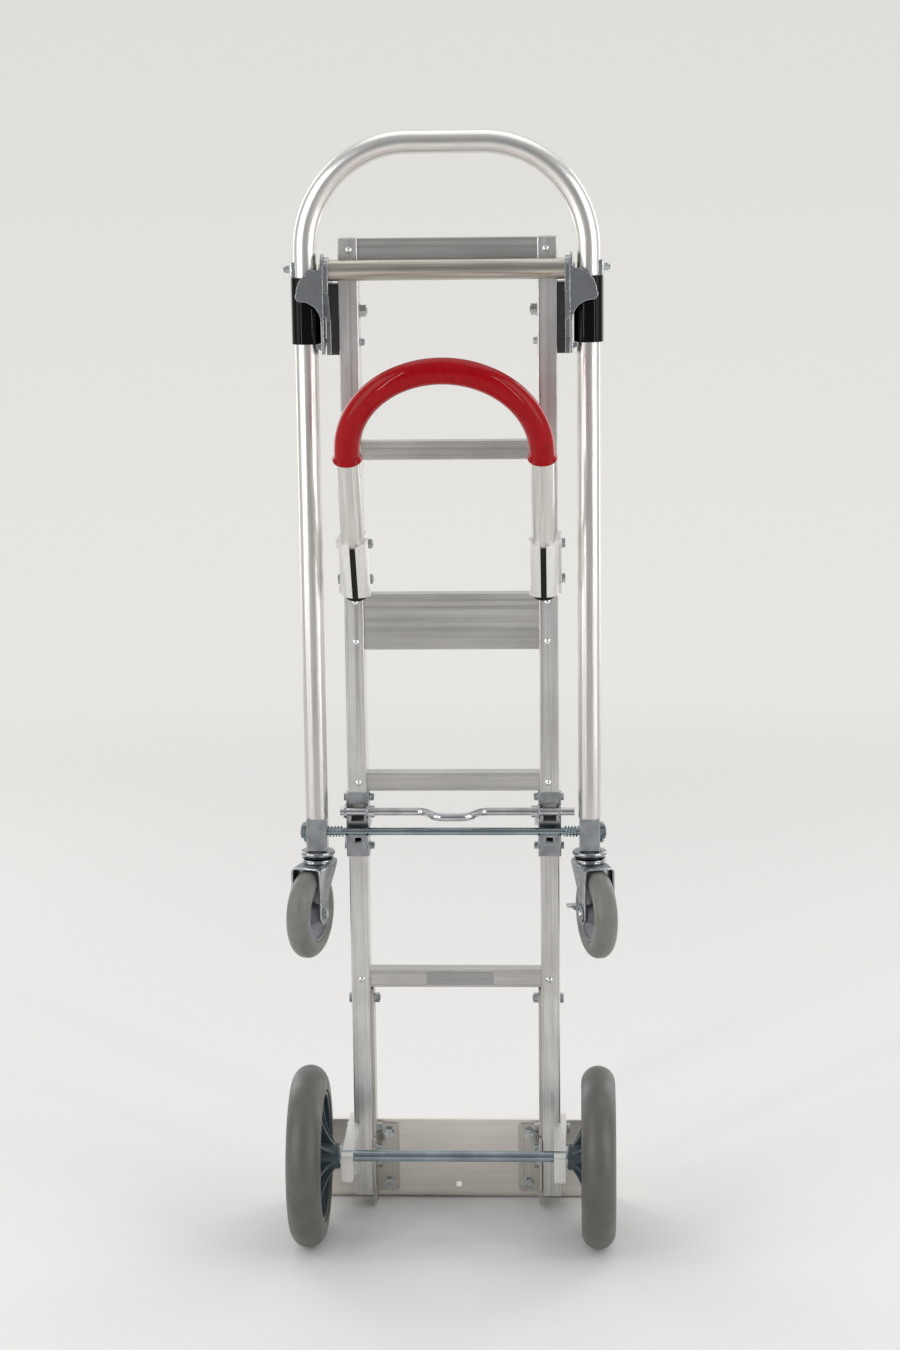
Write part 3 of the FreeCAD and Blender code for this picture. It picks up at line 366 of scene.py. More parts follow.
@dataclass(frozen=True)
class MouldedRubber(Finish):
    """Non-marking grey rubber from a mould: a dull sheen, a fine tooth and dust worked into it."""

    dust: str = "#8c8a82"

    def dress(self, tree: bpy.types.NodeTree, shader: bpy.types.Node, place: bpy.types.NodeSocket) -> None:
        """Add the tooth, slow shading of the mix, and dust."""
        tooth = marks(tree, place, (0.9,) * 3, 3.0)
        shade = marks(tree, place, (35.0,) * 3, 4.0)
        dusty = marks(tree, place, (22.0,) * 3, 6.0, 0.50, 0.80)
        body = blend(tree, shade, linear(self.light), linear(self.dark))
        dusted = blend(tree, scaled(tree, dusty, 0.07), body, linear(self.dust))
        tree.links.new(dusted, shader.inputs["Base Color"])
        self.gloss(tree, shader, shade, 0.06)
        self.relief(tree, shader, tooth, 0.015)


@dataclass(frozen=True)
class MouldedPlastic(Finish):
    """Injection moulded plastic: even colour, a faint orange peel, light rub marks and paler edges, partly wear and
    partly a painted edge highlight.
    """

    peel_mm: float = 1.6
    peel_depth_mm: float = 0.015
    shine: float = 0.5
    edge_mm: float = 0.5
    # colour of the pale edges, partly wear and partly a painted edge highlight; empty for none
    edge: str = ""

    def dress(self, tree: bpy.types.NodeTree, shader: bpy.types.Node, place: bpy.types.NodeSocket) -> None:
        """Add the peel, the rub marks and, where the plastic has an edge colour, its pale edges, partly scuffs and
        partly a painted edge highlight.
        """
        peel = marks(tree, place, (self.peel_mm,) * 3, 2.0)
        rub = marks(tree, place, (6.0, 6.0, 18.0), 5.0, 0.50, 0.75)
        soft = rounded(tree, self.edge_mm)
        body = blend(tree, rub, linear(self.light), linear(self.dark))
        # pale edges: partly scuffs, partly a painted edge highlight
        if self.edge:
            body = blend(tree, scaled(tree, edges(tree, soft), 0.6), body, linear(self.edge))
        tree.links.new(body, shader.inputs["Base Color"])
        shader.inputs["Specular IOR Level"].default_value = self.shine
        self.gloss(tree, shader, rub, 0.05)
        self.relief(tree, shader, peel, self.peel_depth_mm, soft)


# 6061 extrusion, mill finish: soft grey with bright long die lines
RAIL_METAL = ExtrudedAluminium("extruded_aluminium_upright", "#f1f0ee", "#b4b1ae", 0.33)
BAR_METAL = ExtrudedAluminium("extruded_aluminium_across", "#d6d4d1", "#b0aeaa", 0.34, grain=Grain.ACROSS)
# rolled sheet, mill finish: wider, fainter streaks and slow clouds
SHEET_METAL = ExtrudedAluminium("rolled_aluminium_sheet", "#f3efe8", "#d6d1c9", 0.42, grain=Grain.ACROSS,
                                line_mm=1.8, cloud_mm=80.0)
ANGLE_METAL = ExtrudedAluminium("extruded_aluminium_angle", "#d3cfc8", "#b0aca5", 0.36, line_mm=1.1)
# anodised foil: an even, colder grey than the bar it is stuck to
FOIL = ExtrudedAluminium("anodised_foil", "#b0b0b1", "#9c9c9d", 0.30, grain=Grain.ACROSS, line_mm=0.8)
# drawn tube: the brightest metal here, with wide satin highlights
HANDLE_TUBE = DrawnTube("drawn_aluminium_tube", "#e4e2df", "#c9c6c2", 0.31, bend_z=1.400)
# the same tube leaning with the loop, duller from the hands on it, with painted shade where it sits inside the clamps
LOOP_TUBE = DrawnTube("drawn_aluminium_loop_tube", "#e2e0dd", "#c6c3bf", 0.30, lean_deg=29.0, clamp_shade_z=0.985)
# cross tube: a touch warmer and rougher, where the plates and straps rub
HINGE_TUBE = DrawnTube("drawn_aluminium_cross_tube", "#cbc7be", "#a7a398", 0.30, grain=Grain.ACROSS)
# tumbled sand casting: almost white, too rough to mirror anything
CASTING = CastAluminium("tumbled_aluminium_casting", "#ecebe8", "#bdbbb7", 0.50)
RIVET_METAL = CastAluminium("bright_rivet_aluminium", "#ececeb", "#b5b4b2", 0.22, grit_mm=2.0)
# zinc-plated pressings: cold slate faces, white at every edge, partly wear and partly a painted edge highlight
PRESSED_ZINC = ZincPlate("zinc_plated_pressing", "#a9adb1", "#8f9397", 0.24, cloud_mm=22.0, edge_mm=1.3)
# zinc-plated bar: dark teal with one sharp highlight along it
ROD_ZINC = ZincPlate("zinc_plated_bar", "#9fadb1", "#839196", 0.15, cloud_mm=45.0, edge_mm=0.3)
# nickel-bright bar: neutral silver, worn clean where fingers pull it
PULL_ZINC = ZincPlate("bright_plated_bar", "#cfcfd1", "#b4b4b8", 0.16, cloud_mm=30.0, edge_mm=0.3)
BOLT_ZINC = ZincPlate("zinc_plated_fastener", "#cfd5d4", "#9aa2a2", 0.20, cloud_mm=9.0, edge_mm=0.4)
# nylon, moulded glossy: deep black with narrow highlights
BLACK_NYLON = MouldedPlastic("glossy_black_nylon", "#060607", "#0b0b0c", 0.13, peel_mm=5.0, peel_depth_mm=0.006,
                             shine=0.14)
# black spacer plastic: its pale edges are partly wear and partly a painted edge highlight
SPACER_BLACK = MouldedPlastic("black_spacer_plastic", "#2f2e2a", "#3d3b36", 0.45, edge="#6a6861")
SEAL_BLACK = MouldedPlastic("black_seal_rubber", "#111111", "#1b1b1b", 0.42)
# dipped vinyl: deep red that shines like lacquer, with slow waves of the dip
GRIP_RED = MouldedPlastic("red_dipped_vinyl", "#9c0510", "#86030c", 0.10, peel_mm=9.0, peel_depth_mm=0.02, shine=0.17)
# polypropylene: dull slate blue, paler at rib and rim edges, partly rubbed and partly a painted edge highlight
HUB_PLASTIC = MouldedPlastic("slate_polypropylene", "#3a474c", "#2f3a3e", 0.36, edge_mm=0.9, edge="#8b979b")
CASTER_PLASTIC = MouldedPlastic("grey_polypropylene", "#85848a", "#716f75", 0.40, edge="#a9a8ac")
# solid rubber: warm grey with a soft upright sheen
WHEEL_RUBBER = MouldedRubber("grey_wheel_rubber", "#5c5b57", "#54534f", 0.42)
CASTER_RUBBER = MouldedRubber("grey_caster_rubber", "#7d7c77", "#706f6b", 0.44, dust="#9c998f")


# ------------------------------------------------------------------ modelling tools


def draw_line(name: str, points: Sequence[Vector]) -> bpy.types.Object:
    """Draw a chain of edges, vertex by vertex, and stay in edit mode with all of it selected.

    Args:
        name: the new object's name.
        points: the chain's corners in order, in metres.

    Returns:
        The object that holds the chain.
    """
    bpy.ops.object.select_all(action="DESELECT")
    bpy.ops.mesh.primitive_plane_add(size=MM, location=points[0])
    made = bpy.context.object
    made.name = name
    bpy.ops.object.transform_apply(location=True, rotation=True, scale=True)
    bpy.ops.object.mode_set(mode="EDIT")
    bpy.ops.mesh.select_mode(type="VERT")
    bpy.ops.mesh.select_all(action="SELECT")
    bpy.ops.mesh.merge(type="CENTER")
    for last, point in zip(points, points[1:]):
        bpy.ops.mesh.extrude_region_move(TRANSFORM_OT_translate={"value": point - last})
    bpy.ops.mesh.select_all(action="SELECT")
    return made


def close_mesh(angle_deg: float = 35.0) -> None:
    """Leave edit mode with doubles merged, normals outwards and edges under the angle smooth.

    Args:
        angle_deg: edges sharper than this stay crisp.
    """
    bpy.ops.mesh.select_all(action="SELECT")
    bpy.ops.mesh.remove_doubles(threshold=0.01 * MM)
    bpy.ops.mesh.normals_make_consistent(inside=False)
    bpy.ops.object.mode_set(mode="OBJECT")
    bpy.ops.object.shade_smooth_by_angle(angle=math.radians(angle_deg))


def lathe(name: str, profile: Sequence[Point], centre: Vector, axis: Vector, steps: int = 96) -> bpy.types.Object:
    """Turn a profile about an axis.

    Args:
        name: the new object's name.
        profile: points of distance along the axis and radius, in metres.
        centre: the point on the axis where the distance is 0.
        axis: direction of the axis.
        steps: how many facets go round.

    Returns:
        The turned piece, in object mode.
    """
    along = axis.normalized()
    out = along.cross(Vector((0, 1, 0)) if abs(along.y) < 0.9 else Vector((0, 0, 1))).normalized()
    made = draw_line(name, [centre + along * a + out * r for a, r in profile])
    bpy.ops.mesh.spin(steps=steps, angle=2 * math.pi, center=centre, axis=along)
    close_mesh()
    return made


def plate(name: str, outline: Sequence[Vector], depth: Vector) -> bpy.types.Object:
    """Fill an outline and push it through a depth.

    Args:
        name: the new object's name.
        outline: the corners of a flat outline.
        depth: direction and length of the push.

    Returns:
        The piece, in object mode.
    """
    made = draw_line(name, list(outline))
    bpy.ops.mesh.edge_face_add()
    bpy.ops.mesh.extrude_region_move(TRANSFORM_OT_translate={"value": depth})
    close_mesh()
    return made


def arc(centre: Point, radius: float, start_deg: float, end_deg: float, count: int) -> list[Point]:
    """Points on an arc.

    Args:
        centre: the arc's centre.
        radius: its radius.
        start_deg: angle of the first point, from the first axis towards the second.
        end_deg: angle of the last point.
        count: how many points.

    Returns:
        The points in order.
    """
    turns = [math.radians(start_deg + (end_deg - start_deg) * i / (count - 1)) for i in range(count)]
    return [(centre[0] + radius * math.cos(t), centre[1] + radius * math.sin(t)) for t in turns]


def shape_with(made: bpy.types.Object, kind: str, **settings) -> None:
    """Add a modifier to a piece and apply it.

    Args:
        made: the piece.
        kind: Blender's type name of the modifier.
        settings: the modifier's own properties.
    """
    bpy.ops.object.select_all(action="DESELECT")
    made.select_set(True)
    bpy.context.view_layer.objects.active = made
    modifier = made.modifiers.new(kind.title(), kind)
    for name, value in settings.items():
        setattr(modifier, name, value)
    bpy.ops.object.modifier_apply(modifier=modifier.name)


def join(parts: Sequence[bpy.types.Object], name: str) -> bpy.types.Object:
    """Join pieces into one object.

    Args:
        parts: the pieces; the first one keeps its name's place.
        name: the name of the whole.

    Returns:
        The joined piece.
    """
    bpy.ops.object.select_all(action="DESELECT")
    for part in parts:
        part.select_set(True)
    bpy.context.view_layer.objects.active = parts[0]
    bpy.ops.object.join()
    whole = bpy.context.object
    whole.name = name
    return whole


def place_by(made: bpy.types.Object, matrix: Matrix) -> None:
    """Move a piece by a matrix and leave its object at the origin.

    Args:
        made: the piece.
        matrix: where its own frame goes.
    """
    bpy.ops.object.select_all(action="DESELECT")
    made.select_set(True)
    bpy.context.view_layer.objects.active = made
    made.matrix_world = matrix @ made.matrix_world
    bpy.ops.object.transform_apply(location=True, rotation=True, scale=True)


def dress(made: bpy.types.Object, finish: Finish) -> None:
    """Give a piece its finish.

    Args:
        made: a new piece or a CAD node.
        finish: the finish for all of it.
    """
    if not made.material_slots:
        made.data.materials.append(finish.material())
    for slot in made.material_slots:
        slot.material = finish.material()


def hand_over(made: bpy.types.Object, finish: Finish, slot: str, body: str, *nodes: str) -> None:
    """Dress a new piece and hand it to the frame.

    Args:
        made: the piece.
        finish: its finish.
        slot: the record's material slot; not used.
        body: the body that it moves with.
        nodes: the CAD nodes that it stands for.
    """
    dress(made, finish)
    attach(made, body)
    if nodes:
        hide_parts(*nodes)


def middle(node: str) -> Vector:
    """The middle of a CAD node's box at rest."""
    low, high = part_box(node)
    return (low + high) / 2


# ------------------------------------------------------------------ sub-assemblies


@dataclass
class LadderFrame:
    """Rails, cross bars, toe plate and their fasteners, all kept from the CAD with their own metals."""

    nodes: dict[str, bpy.types.Object]

    def build(self) -> None:
        """Dress every node of the frame."""
        finishes = {
            RAIL_METAL: ("rail_left", "rail_right"),
            BAR_METAL: ("cross_bar_top", "cross_bar_upper", "cross_panel", "cross_bar_lower", "cross_bar_bottom"),
            SHEET_METAL: ("toe_plate",),
            ANGLE_METAL: ("toe_bracket_left", "toe_bracket_right"),
            FOIL: ("label_plate",),
            RIVET_METAL: ("frame_rivets",),
            CASTING: ("axle_bracket_left", "axle_bracket_right"),
            BOLT_ZINC: ("toe_bolts", "axle_bolts", "axle_retainers"),
            ROD_ZINC: ("axle_rod",),
        }
        for finish, names in finishes.items():
            for name in names:
                dress(self.nodes[name], finish)


@dataclass
class LoopHandle:
    """Leaning loop with a red dipped grip on its arch and cast clamps at its feet."""

    nodes: dict[str, bpy.types.Object]
    loop_radius: float = 130 * MM
    lean_deg: float = 29.0
    spring_z: float = 1123 * MM
    grip_radius: float = 17.6 * MM
    tube_radius: float = 15.875 * MM
    flare: float = 2.3 * MM
    flare_length: float = 9 * MM
    steps: int = 72

    def build(self) -> None:
        """Dress the tube and clamps, and model the grip."""
        dress(self.nodes["loop_handle_tube"], LOOP_TUBE)
        dress(self.nodes["clamp_bolts"], BOLT_ZINC)
        for side in Side:
            dress(self.nodes[f"loop_clamp_{side.word}"], CASTING)
        hand_over(self.grip(), GRIP_RED, "red_vinyl", "frame", "loop_grip")

    def grip(self) -> bpy.types.Object:
        """Spin the sleeve round the arch, and draw each end out to a soft flare.

        Returns:
            The grip.
        """
        low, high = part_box("loop_handle_tube")
        lean = math.radians(self.lean_deg)
        up = Vector((0, -math.sin(lean), math.cos(lean)))
        across = Vector((0, math.cos(lean), math.sin(lean)))
        top_y = low.y + self.tube_radius
        centre = Vector((0, top_y, 0)) - up * self.loop_radius
        centre.z = self.spring_z
        start = centre + Vector((-self.loop_radius, 0, 0))
        bpy.ops.object.select_all(action="DESELECT")
        bpy.ops.mesh.primitive_circle_add(vertices=40, radius=self.grip_radius, location=start,
                                          rotation=Euler((-(math.pi - lean), 0, 0)))
        made = bpy.context.object
        made.name = "grip_sleeve"
        bpy.ops.object.transform_apply(location=True, rotation=True, scale=True)
        bpy.ops.object.mode_set(mode="EDIT")
        bpy.ops.mesh.select_all(action="SELECT")
        bpy.ops.mesh.spin(steps=self.steps, angle=math.pi, center=centre, axis=-across)
        self.flare_end(start, -up)
        self.flare_end(centre * 2 - start, -up)
        close_mesh(60.0)
        return made

    def flare_end(self, ring_centre: Vector, down: Vector) -> None:
        """Extrude the open ring at one end into a lip that turns in to the tube.

        Args:
            ring_centre: middle of the open ring.
            down: the way out of the arch.
        """
        bpy.ops.mesh.select_all(action="DESELECT")
        made = bpy.context.edit_object
        bpy.ops.object.mode_set(mode="OBJECT")
        for vertex in made.data.vertices:
            reach = vertex.co - ring_centre
            vertex.select = abs(reach.dot(down)) < 0.05 * MM and reach.length < self.grip_radius * 1.1
        bpy.ops.object.mode_set(mode="EDIT")
        wide = 1 + self.flare / self.grip_radius
        steps = ((0.35, 1 + 0.25 * (wide - 1)), (0.40, 1 + 0.75 * (wide - 1)), (0.17, 1.0 + 0.2 * (wide - 1)),
                 (0.08, 0.985))
        reach = Vector(ring_centre)
        for share, scale in steps:
            bpy.ops.mesh.extrude_region_move(
                TRANSFORM_OT_translate={"value": down * (self.flare_length * share)})
            reach += down * (self.flare_length * share)
            bpy.ops.transform.resize(value=(scale,) * 3, center_override=reach)
        bpy.ops.mesh.extrude_region_move(TRANSFORM_OT_translate={"value": (0, 0, 0)})
        bpy.ops.transform.resize(value=(0.87,) * 3, center_override=reach)
        bpy.ops.mesh.extrude_region_move(TRANSFORM_OT_translate={"value": down * (-1.5 * MM)})


@dataclass
class FoldHinge:
    """Plates, cross tube and plastic sleeves that let the U-handle swing and slide."""

    nodes: dict[str, bpy.types.Object]

    def build(self) -> None:
        """Dress every node of the hinge."""
        dress(self.nodes["hinge_cross_tube"], HINGE_TUBE)
        dress(self.nodes["hinge_bolts"], BOLT_ZINC)
        dress(self.nodes["hinge_spacers"], SPACER_BLACK)
        for side in Side:
            dress(self.nodes[f"hinge_plate_{side.word}"], PRESSED_ZINC)
            dress(self.nodes[f"swing_plate_{side.word}"], PRESSED_ZINC)
            dress(self.nodes[f"guide_sleeve_{side.word}"], BLACK_NYLON)


@dataclass
class UHandle:
    """Tall bent tube with its stops, sockets, cross rod and the latch that holds it."""

    nodes: dict[str, bpy.types.Object]

    def build(self) -> None:
        """Dress every node of the handle and the latch."""
        dress(self.nodes["u_handle_tube"], HANDLE_TUBE)
        for name in ("stop_blocks", "socket_bolts", "latch_bolts"):
            dress(self.nodes[name], BOLT_ZINC)
        dress(self.nodes["release_bar"], PULL_ZINC)
        for name in ("cross_rod", "rod_springs"):
            dress(self.nodes[name], ROD_ZINC)
        for side in Side:
            dress(self.nodes[f"caster_socket_{side.word}"], PRESSED_ZINC)
            dress(self.nodes[f"latch_bracket_{side.word}"], PRESSED_ZINC)


@dataclass
class RoadWheel:
    """Main wheel: round grey tyre on a slate hub with a conical boss and curved ribs."""

    side: Side
    nodes: dict[str, bpy.types.Object]
    tyre_radius: float = 127 * MM
    tyre_half: float = 23.8 * MM
    rim_radius: float = 92 * MM
    rim_half: float = 21.8 * MM
    rim_wall: float = 6.5 * MM
    web_half: float = 2.6 * MM
    bore: float = 13 * MM
    boss_tip: float = 18 * MM
    boss_root: float = 25 * MM
    boss_inward: float = 42.7 * MM
    boss_outward: float = 17.2 * MM
    rib_count: int = 8
    rib_half: float = 2.1 * MM

    def build(self) -> None:
        """Model the tyre and hub, and dress the bush."""
        word = self.side.word
        centre = middle(f"wheel_tyre_{word}")
        out = Vector((self.side.value, 0, 0))
        hand_over(self.tyre(centre, out), WHEEL_RUBBER, "wheel_rubber", f"wheel_{word}", f"wheel_tyre_{word}")
        hand_over(self.hub(centre, out), HUB_PLASTIC, "hub_plastic", f"wheel_{word}", f"wheel_hub_{word}")
        dress(self.nodes[f"wheel_bearing_{word}"], BOLT_ZINC)

    def tyre(self, centre: Vector, out: Vector) -> bpy.types.Object:
        """Turn the round-shouldered tyre, with a moulding line down its middle and a bead at the rim.

        Args:
            centre: middle of the wheel.
            out: direction away from the truck.

        Returns:
            The tyre.
        """
        half, rim = self.tyre_half, self.rim_radius + 0.05 * MM
        crown = self.tyre_radius - half
        tread = arc((0, crown), half, 180, 91.2, 26) + [(0, self.tyre_radius)] + arc((0, crown), half, 88.8, 0, 26)
        tread = [(a, r - (0.25 * MM if abs(a) < 0.4 * MM and a else 0)) for a, r in tread]
        bead = 2 * MM
        profile = [(-half + bead, rim), (-half + 0.4 * MM, rim + 0.4 * MM), (-half, rim + bead), (-half, crown - 5 * MM)]
        profile += tread
        profile += [(half, crown - 5 * MM), (half, rim + bead), (half - 0.4 * MM, rim + 0.4 * MM), (half - bead, rim)]
        return lathe(f"road_tyre_{self.side.word}", profile + profile[:1], centre, out, 128)

    def hub(self, centre: Vector, out: Vector) -> bpy.types.Object:
        """Turn rim, web and boss in one, and set the ribs between them.

        Args:
            centre: middle of the wheel.
            out: direction away from the truck.

        Returns:
            The hub.
        """
        rim_in, lip = self.rim_radius - self.rim_wall, 1.2 * MM
        profile = [(-self.rim_half, rim_in + lip), (-self.rim_half, self.rim_radius - lip),
                   (-self.rim_half + lip, self.rim_radius), (self.rim_half - lip, self.rim_radius),
                   (self.rim_half, self.rim_radius - lip), (self.rim_half, rim_in + lip),
                   (self.rim_half - lip, rim_in), (self.web_half + 4 * MM, rim_in - 0.6 * MM),
                   (self.web_half, rim_in - 4 * MM), (self.web_half, self.boss_root + 4 * MM),
                   (self.web_half + 4 * MM, self.boss_root), (self.boss_outward - lip, 21 * MM),
                   (self.boss_outward, 21 * MM - lip), (self.boss_outward, self.bore + lip),
                   (self.boss_outward - lip, self.bore), (-self.boss_inward + lip, self.bore),
                   (-self.boss_inward, self.bore + lip), (-self.boss_inward, self.boss_tip - lip),
                   (-self.boss_inward + lip, self.boss_tip), (-18 * MM, 21 * MM), (-8 * MM, 24.5 * MM),
                   (-self.web_half - 1.5 * MM, self.boss_root + 3 * MM), (-self.web_half, self.boss_root + 8 * MM),
                   (-self.web_half, rim_in - 4 * MM), (-self.web_half - 4 * MM, rim_in - 0.6 * MM),
                   (-self.rim_half + lip, rim_in)]
        parts = [lathe(f"road_hub_{self.side.word}", profile + profile[:1], centre, out, 128)]
        for turn in range(self.rib_count):
            for face in (-1, 1):
                parts.append(self.rib(centre, out, turn, face))
        return join(parts, f"road_hub_{self.side.word}")

    def rib(self, centre: Vector, out: Vector, turn: int, face: int) -> bpy.types.Object:
        """One rib with a hollowed back, from the boss out to the rim.

        Args:
            centre: middle of the wheel.
            out: direction away from the truck.
            turn: which of the ribs round the wheel.
            face: -1 on the truck's side of the web and 1 on the outer side.

        Returns:
            The rib.
        """
        tip = self.boss_inward - 5 * MM if face < 0 else self.boss_outward - 5 * MM
        rim_at = self.rim_half - 5 * MM
        near, far = (16 if face < 0 else 19) * MM, self.rim_radius - 3 * MM
        sweep = [i / 10 for i in range(11)]
        back = [(rim_at + (tip - rim_at) * (1 - t) ** 2.6, near + (far - near) * t) for t in sweep]
        edge = [Vector((0, 0, r)) + out * (face * a) for a, r in back]
        outline = [Vector((0, 0, near))] + edge + [Vector((0, 0, far))]
        made = plate(f"rib_{turn}_{face}", [p - Vector((0, self.rib_half, 0)) for p in outline],
                     Vector((0, 2 * self.rib_half, 0)))
        shape_with(made, "BEVEL", width=0.7 * MM, segments=2, limit_method="ANGLE")
        angle = 2 * math.pi * (turn + 0.25) / self.rib_count
        place_by(made, Matrix.Translation(centre) @ Matrix.Rotation(angle, 4, "X"))
        return made


@dataclass
class Caster:
    """Swivel caster, drawn about its kingpin trailing towards -Y and then turned to its heading."""

    side: Side
    nodes: dict[str, bpy.types.Object]
    heading_deg: float = 16.0
    trail: float = 34 * MM
    axle_z: float = 463 * MM
    crown_z: float = 531.5 * MM
    sheet: float = 3 * MM
    leg_in: float = 19 * MM
    front: float = 49 * MM
    rear: float = 14 * MM
    foot_radius: float = 15 * MM
    tyre_radius: float = 63.5 * MM
    tyre_half: float = 16 * MM
    hub_radius: float = 40 * MM
    bore: float = 6.05 * MM
    pin: float = 5 * MM
    race_z: float = 536.4 * MM
    socket_z: float = 547.95 * MM

    def build(self) -> None:
        """Model the fork, races, tyre and hub, and dress the axle and the right caster's brake."""
        word = self.side.word
        low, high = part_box(f"caster_socket_{word}")
        kingpin = Vector(((low.x + high.x) / 2, (low.y + high.y) / 2, 0))
        turned = Matrix.Translation(kingpin) @ Matrix.Rotation(
            math.radians(self.heading_deg) * self.side.value, 4, "Z")
        pieces = (
            (self.fork(), PRESSED_ZINC, "zinc_plate", f"caster_{word}", (f"caster_fork_{word}",)),
            (self.race(), PRESSED_ZINC, "zinc_plate", "u_handle", (f"caster_race_{word}",)),
            (self.seal(), SEAL_BLACK, "black_nylon", "u_handle", ()),
            (self.tyre(), CASTER_RUBBER, "caster_rubber", f"caster_wheel_{word}", (f"caster_tyre_{word}",)),
            (self.hub(), CASTER_PLASTIC, "caster_hub_plastic", f"caster_wheel_{word}", (f"caster_hub_{word}",)),
        )
        for made, finish, slot, body, nodes in pieces:
            place_by(made, turned)
            hand_over(made, finish, slot, body, *nodes)
        dress(self.nodes[f"caster_axle_{word}"], BOLT_ZINC)
        if self.side is Side.RIGHT:
            dress(self.nodes["brake_lever"], PRESSED_ZINC)

    def fork(self) -> bpy.types.Object:
        """Bend a strip over the wheel with round shoulders, trim its legs to their outline, add the race.

        Returns:
            The fork with its lower race.
        """
        outer, shoulder, foot = self.leg_in + self.sheet, 7 * MM, self.axle_z - self.foot_radius - MM
        top, inside = self.crown_z, self.leg_in
        bend = [(-outer, foot)] + arc((-outer + shoulder, top - shoulder), shoulder, 180, 90, 7)
        bend += arc((outer - shoulder, top - shoulder), shoulder, 90, 0, 7) + [(outer, foot), (inside, foot)]
        under = top - self.sheet
        round_in = shoulder - self.sheet
        bend += arc((inside - round_in, under - round_in), round_in, 0, 90, 7)
        bend += arc((-inside + round_in, under - round_in), round_in, 90, 180, 7) + [(-inside, foot)]
        strip = plate("fork_strip", [Vector((x, -self.front, z)) for x, z in bend],
                      Vector((0, self.front + self.rear + 8 * MM, 0)))
        trim = plate("fork_trim", [Vector((-outer - MM, y, z)) for y, z in self.leg_outline()],
                     Vector((2 * (outer + MM), 0, 0)))
        shape_with(strip, "BOOLEAN", operation="INTERSECT", object=trim, solver="EXACT")
        bore = lathe("fork_bore", [(-outer - MM, 0), (-outer - MM, 4.05 * MM), (outer + MM, 4.05 * MM), (outer + MM, 0)],
                     Vector((0, -self.trail, self.axle_z)), Vector((1, 0, 0)), 32)
        shape_with(strip, "BOOLEAN", operation="DIFFERENCE", object=bore, solver="EXACT")
        for tool in (trim, bore):
            bpy.data.objects.remove(tool)
        shape_with(strip, "BEVEL", width=0.6 * MM, segments=2, limit_method="ANGLE", angle_limit=math.radians(40))
        race = self.ring("fork_race", 23.6 * MM, 19 * MM, top - 0.3 * MM, top + 4.6 * MM)
        whole = join([strip, race], f"fork_{self.side.word}")
        bpy.ops.object.shade_smooth_by_angle(angle=math.radians(35))
        return whole

    def leg_outline(self) -> list[Point]:
        """The side view of a leg: straight at the front, hollow behind, round at the foot.

        Returns:
            Points of y and z.
        """
        crown_top, y = self.crown_z + MM, self.trail
        foot = arc((-y, self.axle_z), self.foot_radius, -172, -20, 14)
        heel = foot[-1]
        waist = (-self.rear + 1 * MM, self.axle_z + 30 * MM)
        sweep = [(heel[0] + (waist[0] - heel[0]) * t ** 0.8 - 2.5 * MM * math.sin(math.pi * t),
                  heel[1] + (waist[1] - heel[1]) * t) for t in (0.25, 0.5, 0.75, 1.0)]
        crown = [(self.rear - 2 * MM, self.crown_z - 14 * MM), (self.rear + 7 * MM, self.crown_z - 4 * MM),
                 (self.rear + 8 * MM, crown_top), (-self.front, crown_top), (-self.front, self.crown_z - 10 * MM)]
        return foot + sweep + crown

    def ring(self, name: str, low_radius: float, high_radius: float, low: float, high: float) -> bpy.types.Object:
        """Turn a pressed race: a disc with a rolled rim and a sloping shoulder.

        Args:
            name: the new object's name.
            low_radius: radius at its widest.
            high_radius: radius of its top.
            low: height of its underside.
            high: height of its top.

        Returns:
            The race.
        """
        roll = (high - low) * 0.42
        profile = [(low, self.pin), (low, low_radius - roll)]
        profile += [(low + roll - roll * math.cos(t), low_radius - roll + roll * math.sin(t))
                    for t in [math.pi * i / 8 for i in range(1, 7)]]
        profile += [(high - 0.3 * MM, high_radius + 0.6 * MM), (high, high_radius - 0.4 * MM), (high, self.pin)]
        return lathe(name, profile + profile[:1], Vector((0, 0, 0)), Vector((0, 0, 1)), 72)

    def race(self) -> bpy.types.Object:
        """The upper race with its kingpin.

        Returns:
            The race and pin.
        """
        disc = self.ring("race_disc", 24.5 * MM, 15 * MM, self.race_z + 2.6 * MM, self.socket_z)
        low, high, chamfer = self.crown_z - 10 * MM, self.socket_z + 0.5 * MM, 0.8 * MM
        profile = [(low, 0), (low, self.pin - chamfer), (low + chamfer, self.pin), (high, self.pin), (high, 0)]
        pin = lathe("race_pin", profile, Vector((0, 0, 0)), Vector((0, 0, 1)), 32)
        return join([disc, pin], f"upper_race_{self.side.word}")

    def seal(self) -> bpy.types.Object:
        """The dark seal that hides the balls.

        Returns:
            The seal ring.
        """
        low, high = self.race_z + 0.1 * MM, self.race_z + 2.7 * MM
        bulge = [(low + (high - low) * t, 20 * MM + 1.6 * MM * math.sin(math.pi * t)) for t in
                 [i / 6 for i in range(7)]]
        profile = [(low, self.pin)] + bulge + [(high, self.pin)]
        return lathe(f"race_seal_{self.side.word}", profile + profile[:1], Vector((0, 0, 0)), Vector((0, 0, 1)), 72)

    def tyre(self) -> bpy.types.Object:
        """Turn the cushion tyre.

        Returns:
            The tyre.
        """
        half, rim = self.tyre_half, self.hub_radius + 0.05 * MM
        crown = self.tyre_radius - half + 0.5 * MM
        tread = [(a, min(r, self.tyre_radius)) for a, r in arc((0, crown), half, 180, 0, 41)]
        profile = [(-half + 2.4 * MM, rim), (-half + 1.4 * MM, rim + MM), (-half, rim + 4 * MM)] + tread
        profile += [(half, rim + 4 * MM), (half - 1.4 * MM, rim + MM), (half - 2.4 * MM, rim)]
        return lathe(f"cushion_tyre_{self.side.word}", profile + profile[:1],
                     Vector((0, -self.trail, self.axle_z)), Vector((1, 0, 0)), 96)

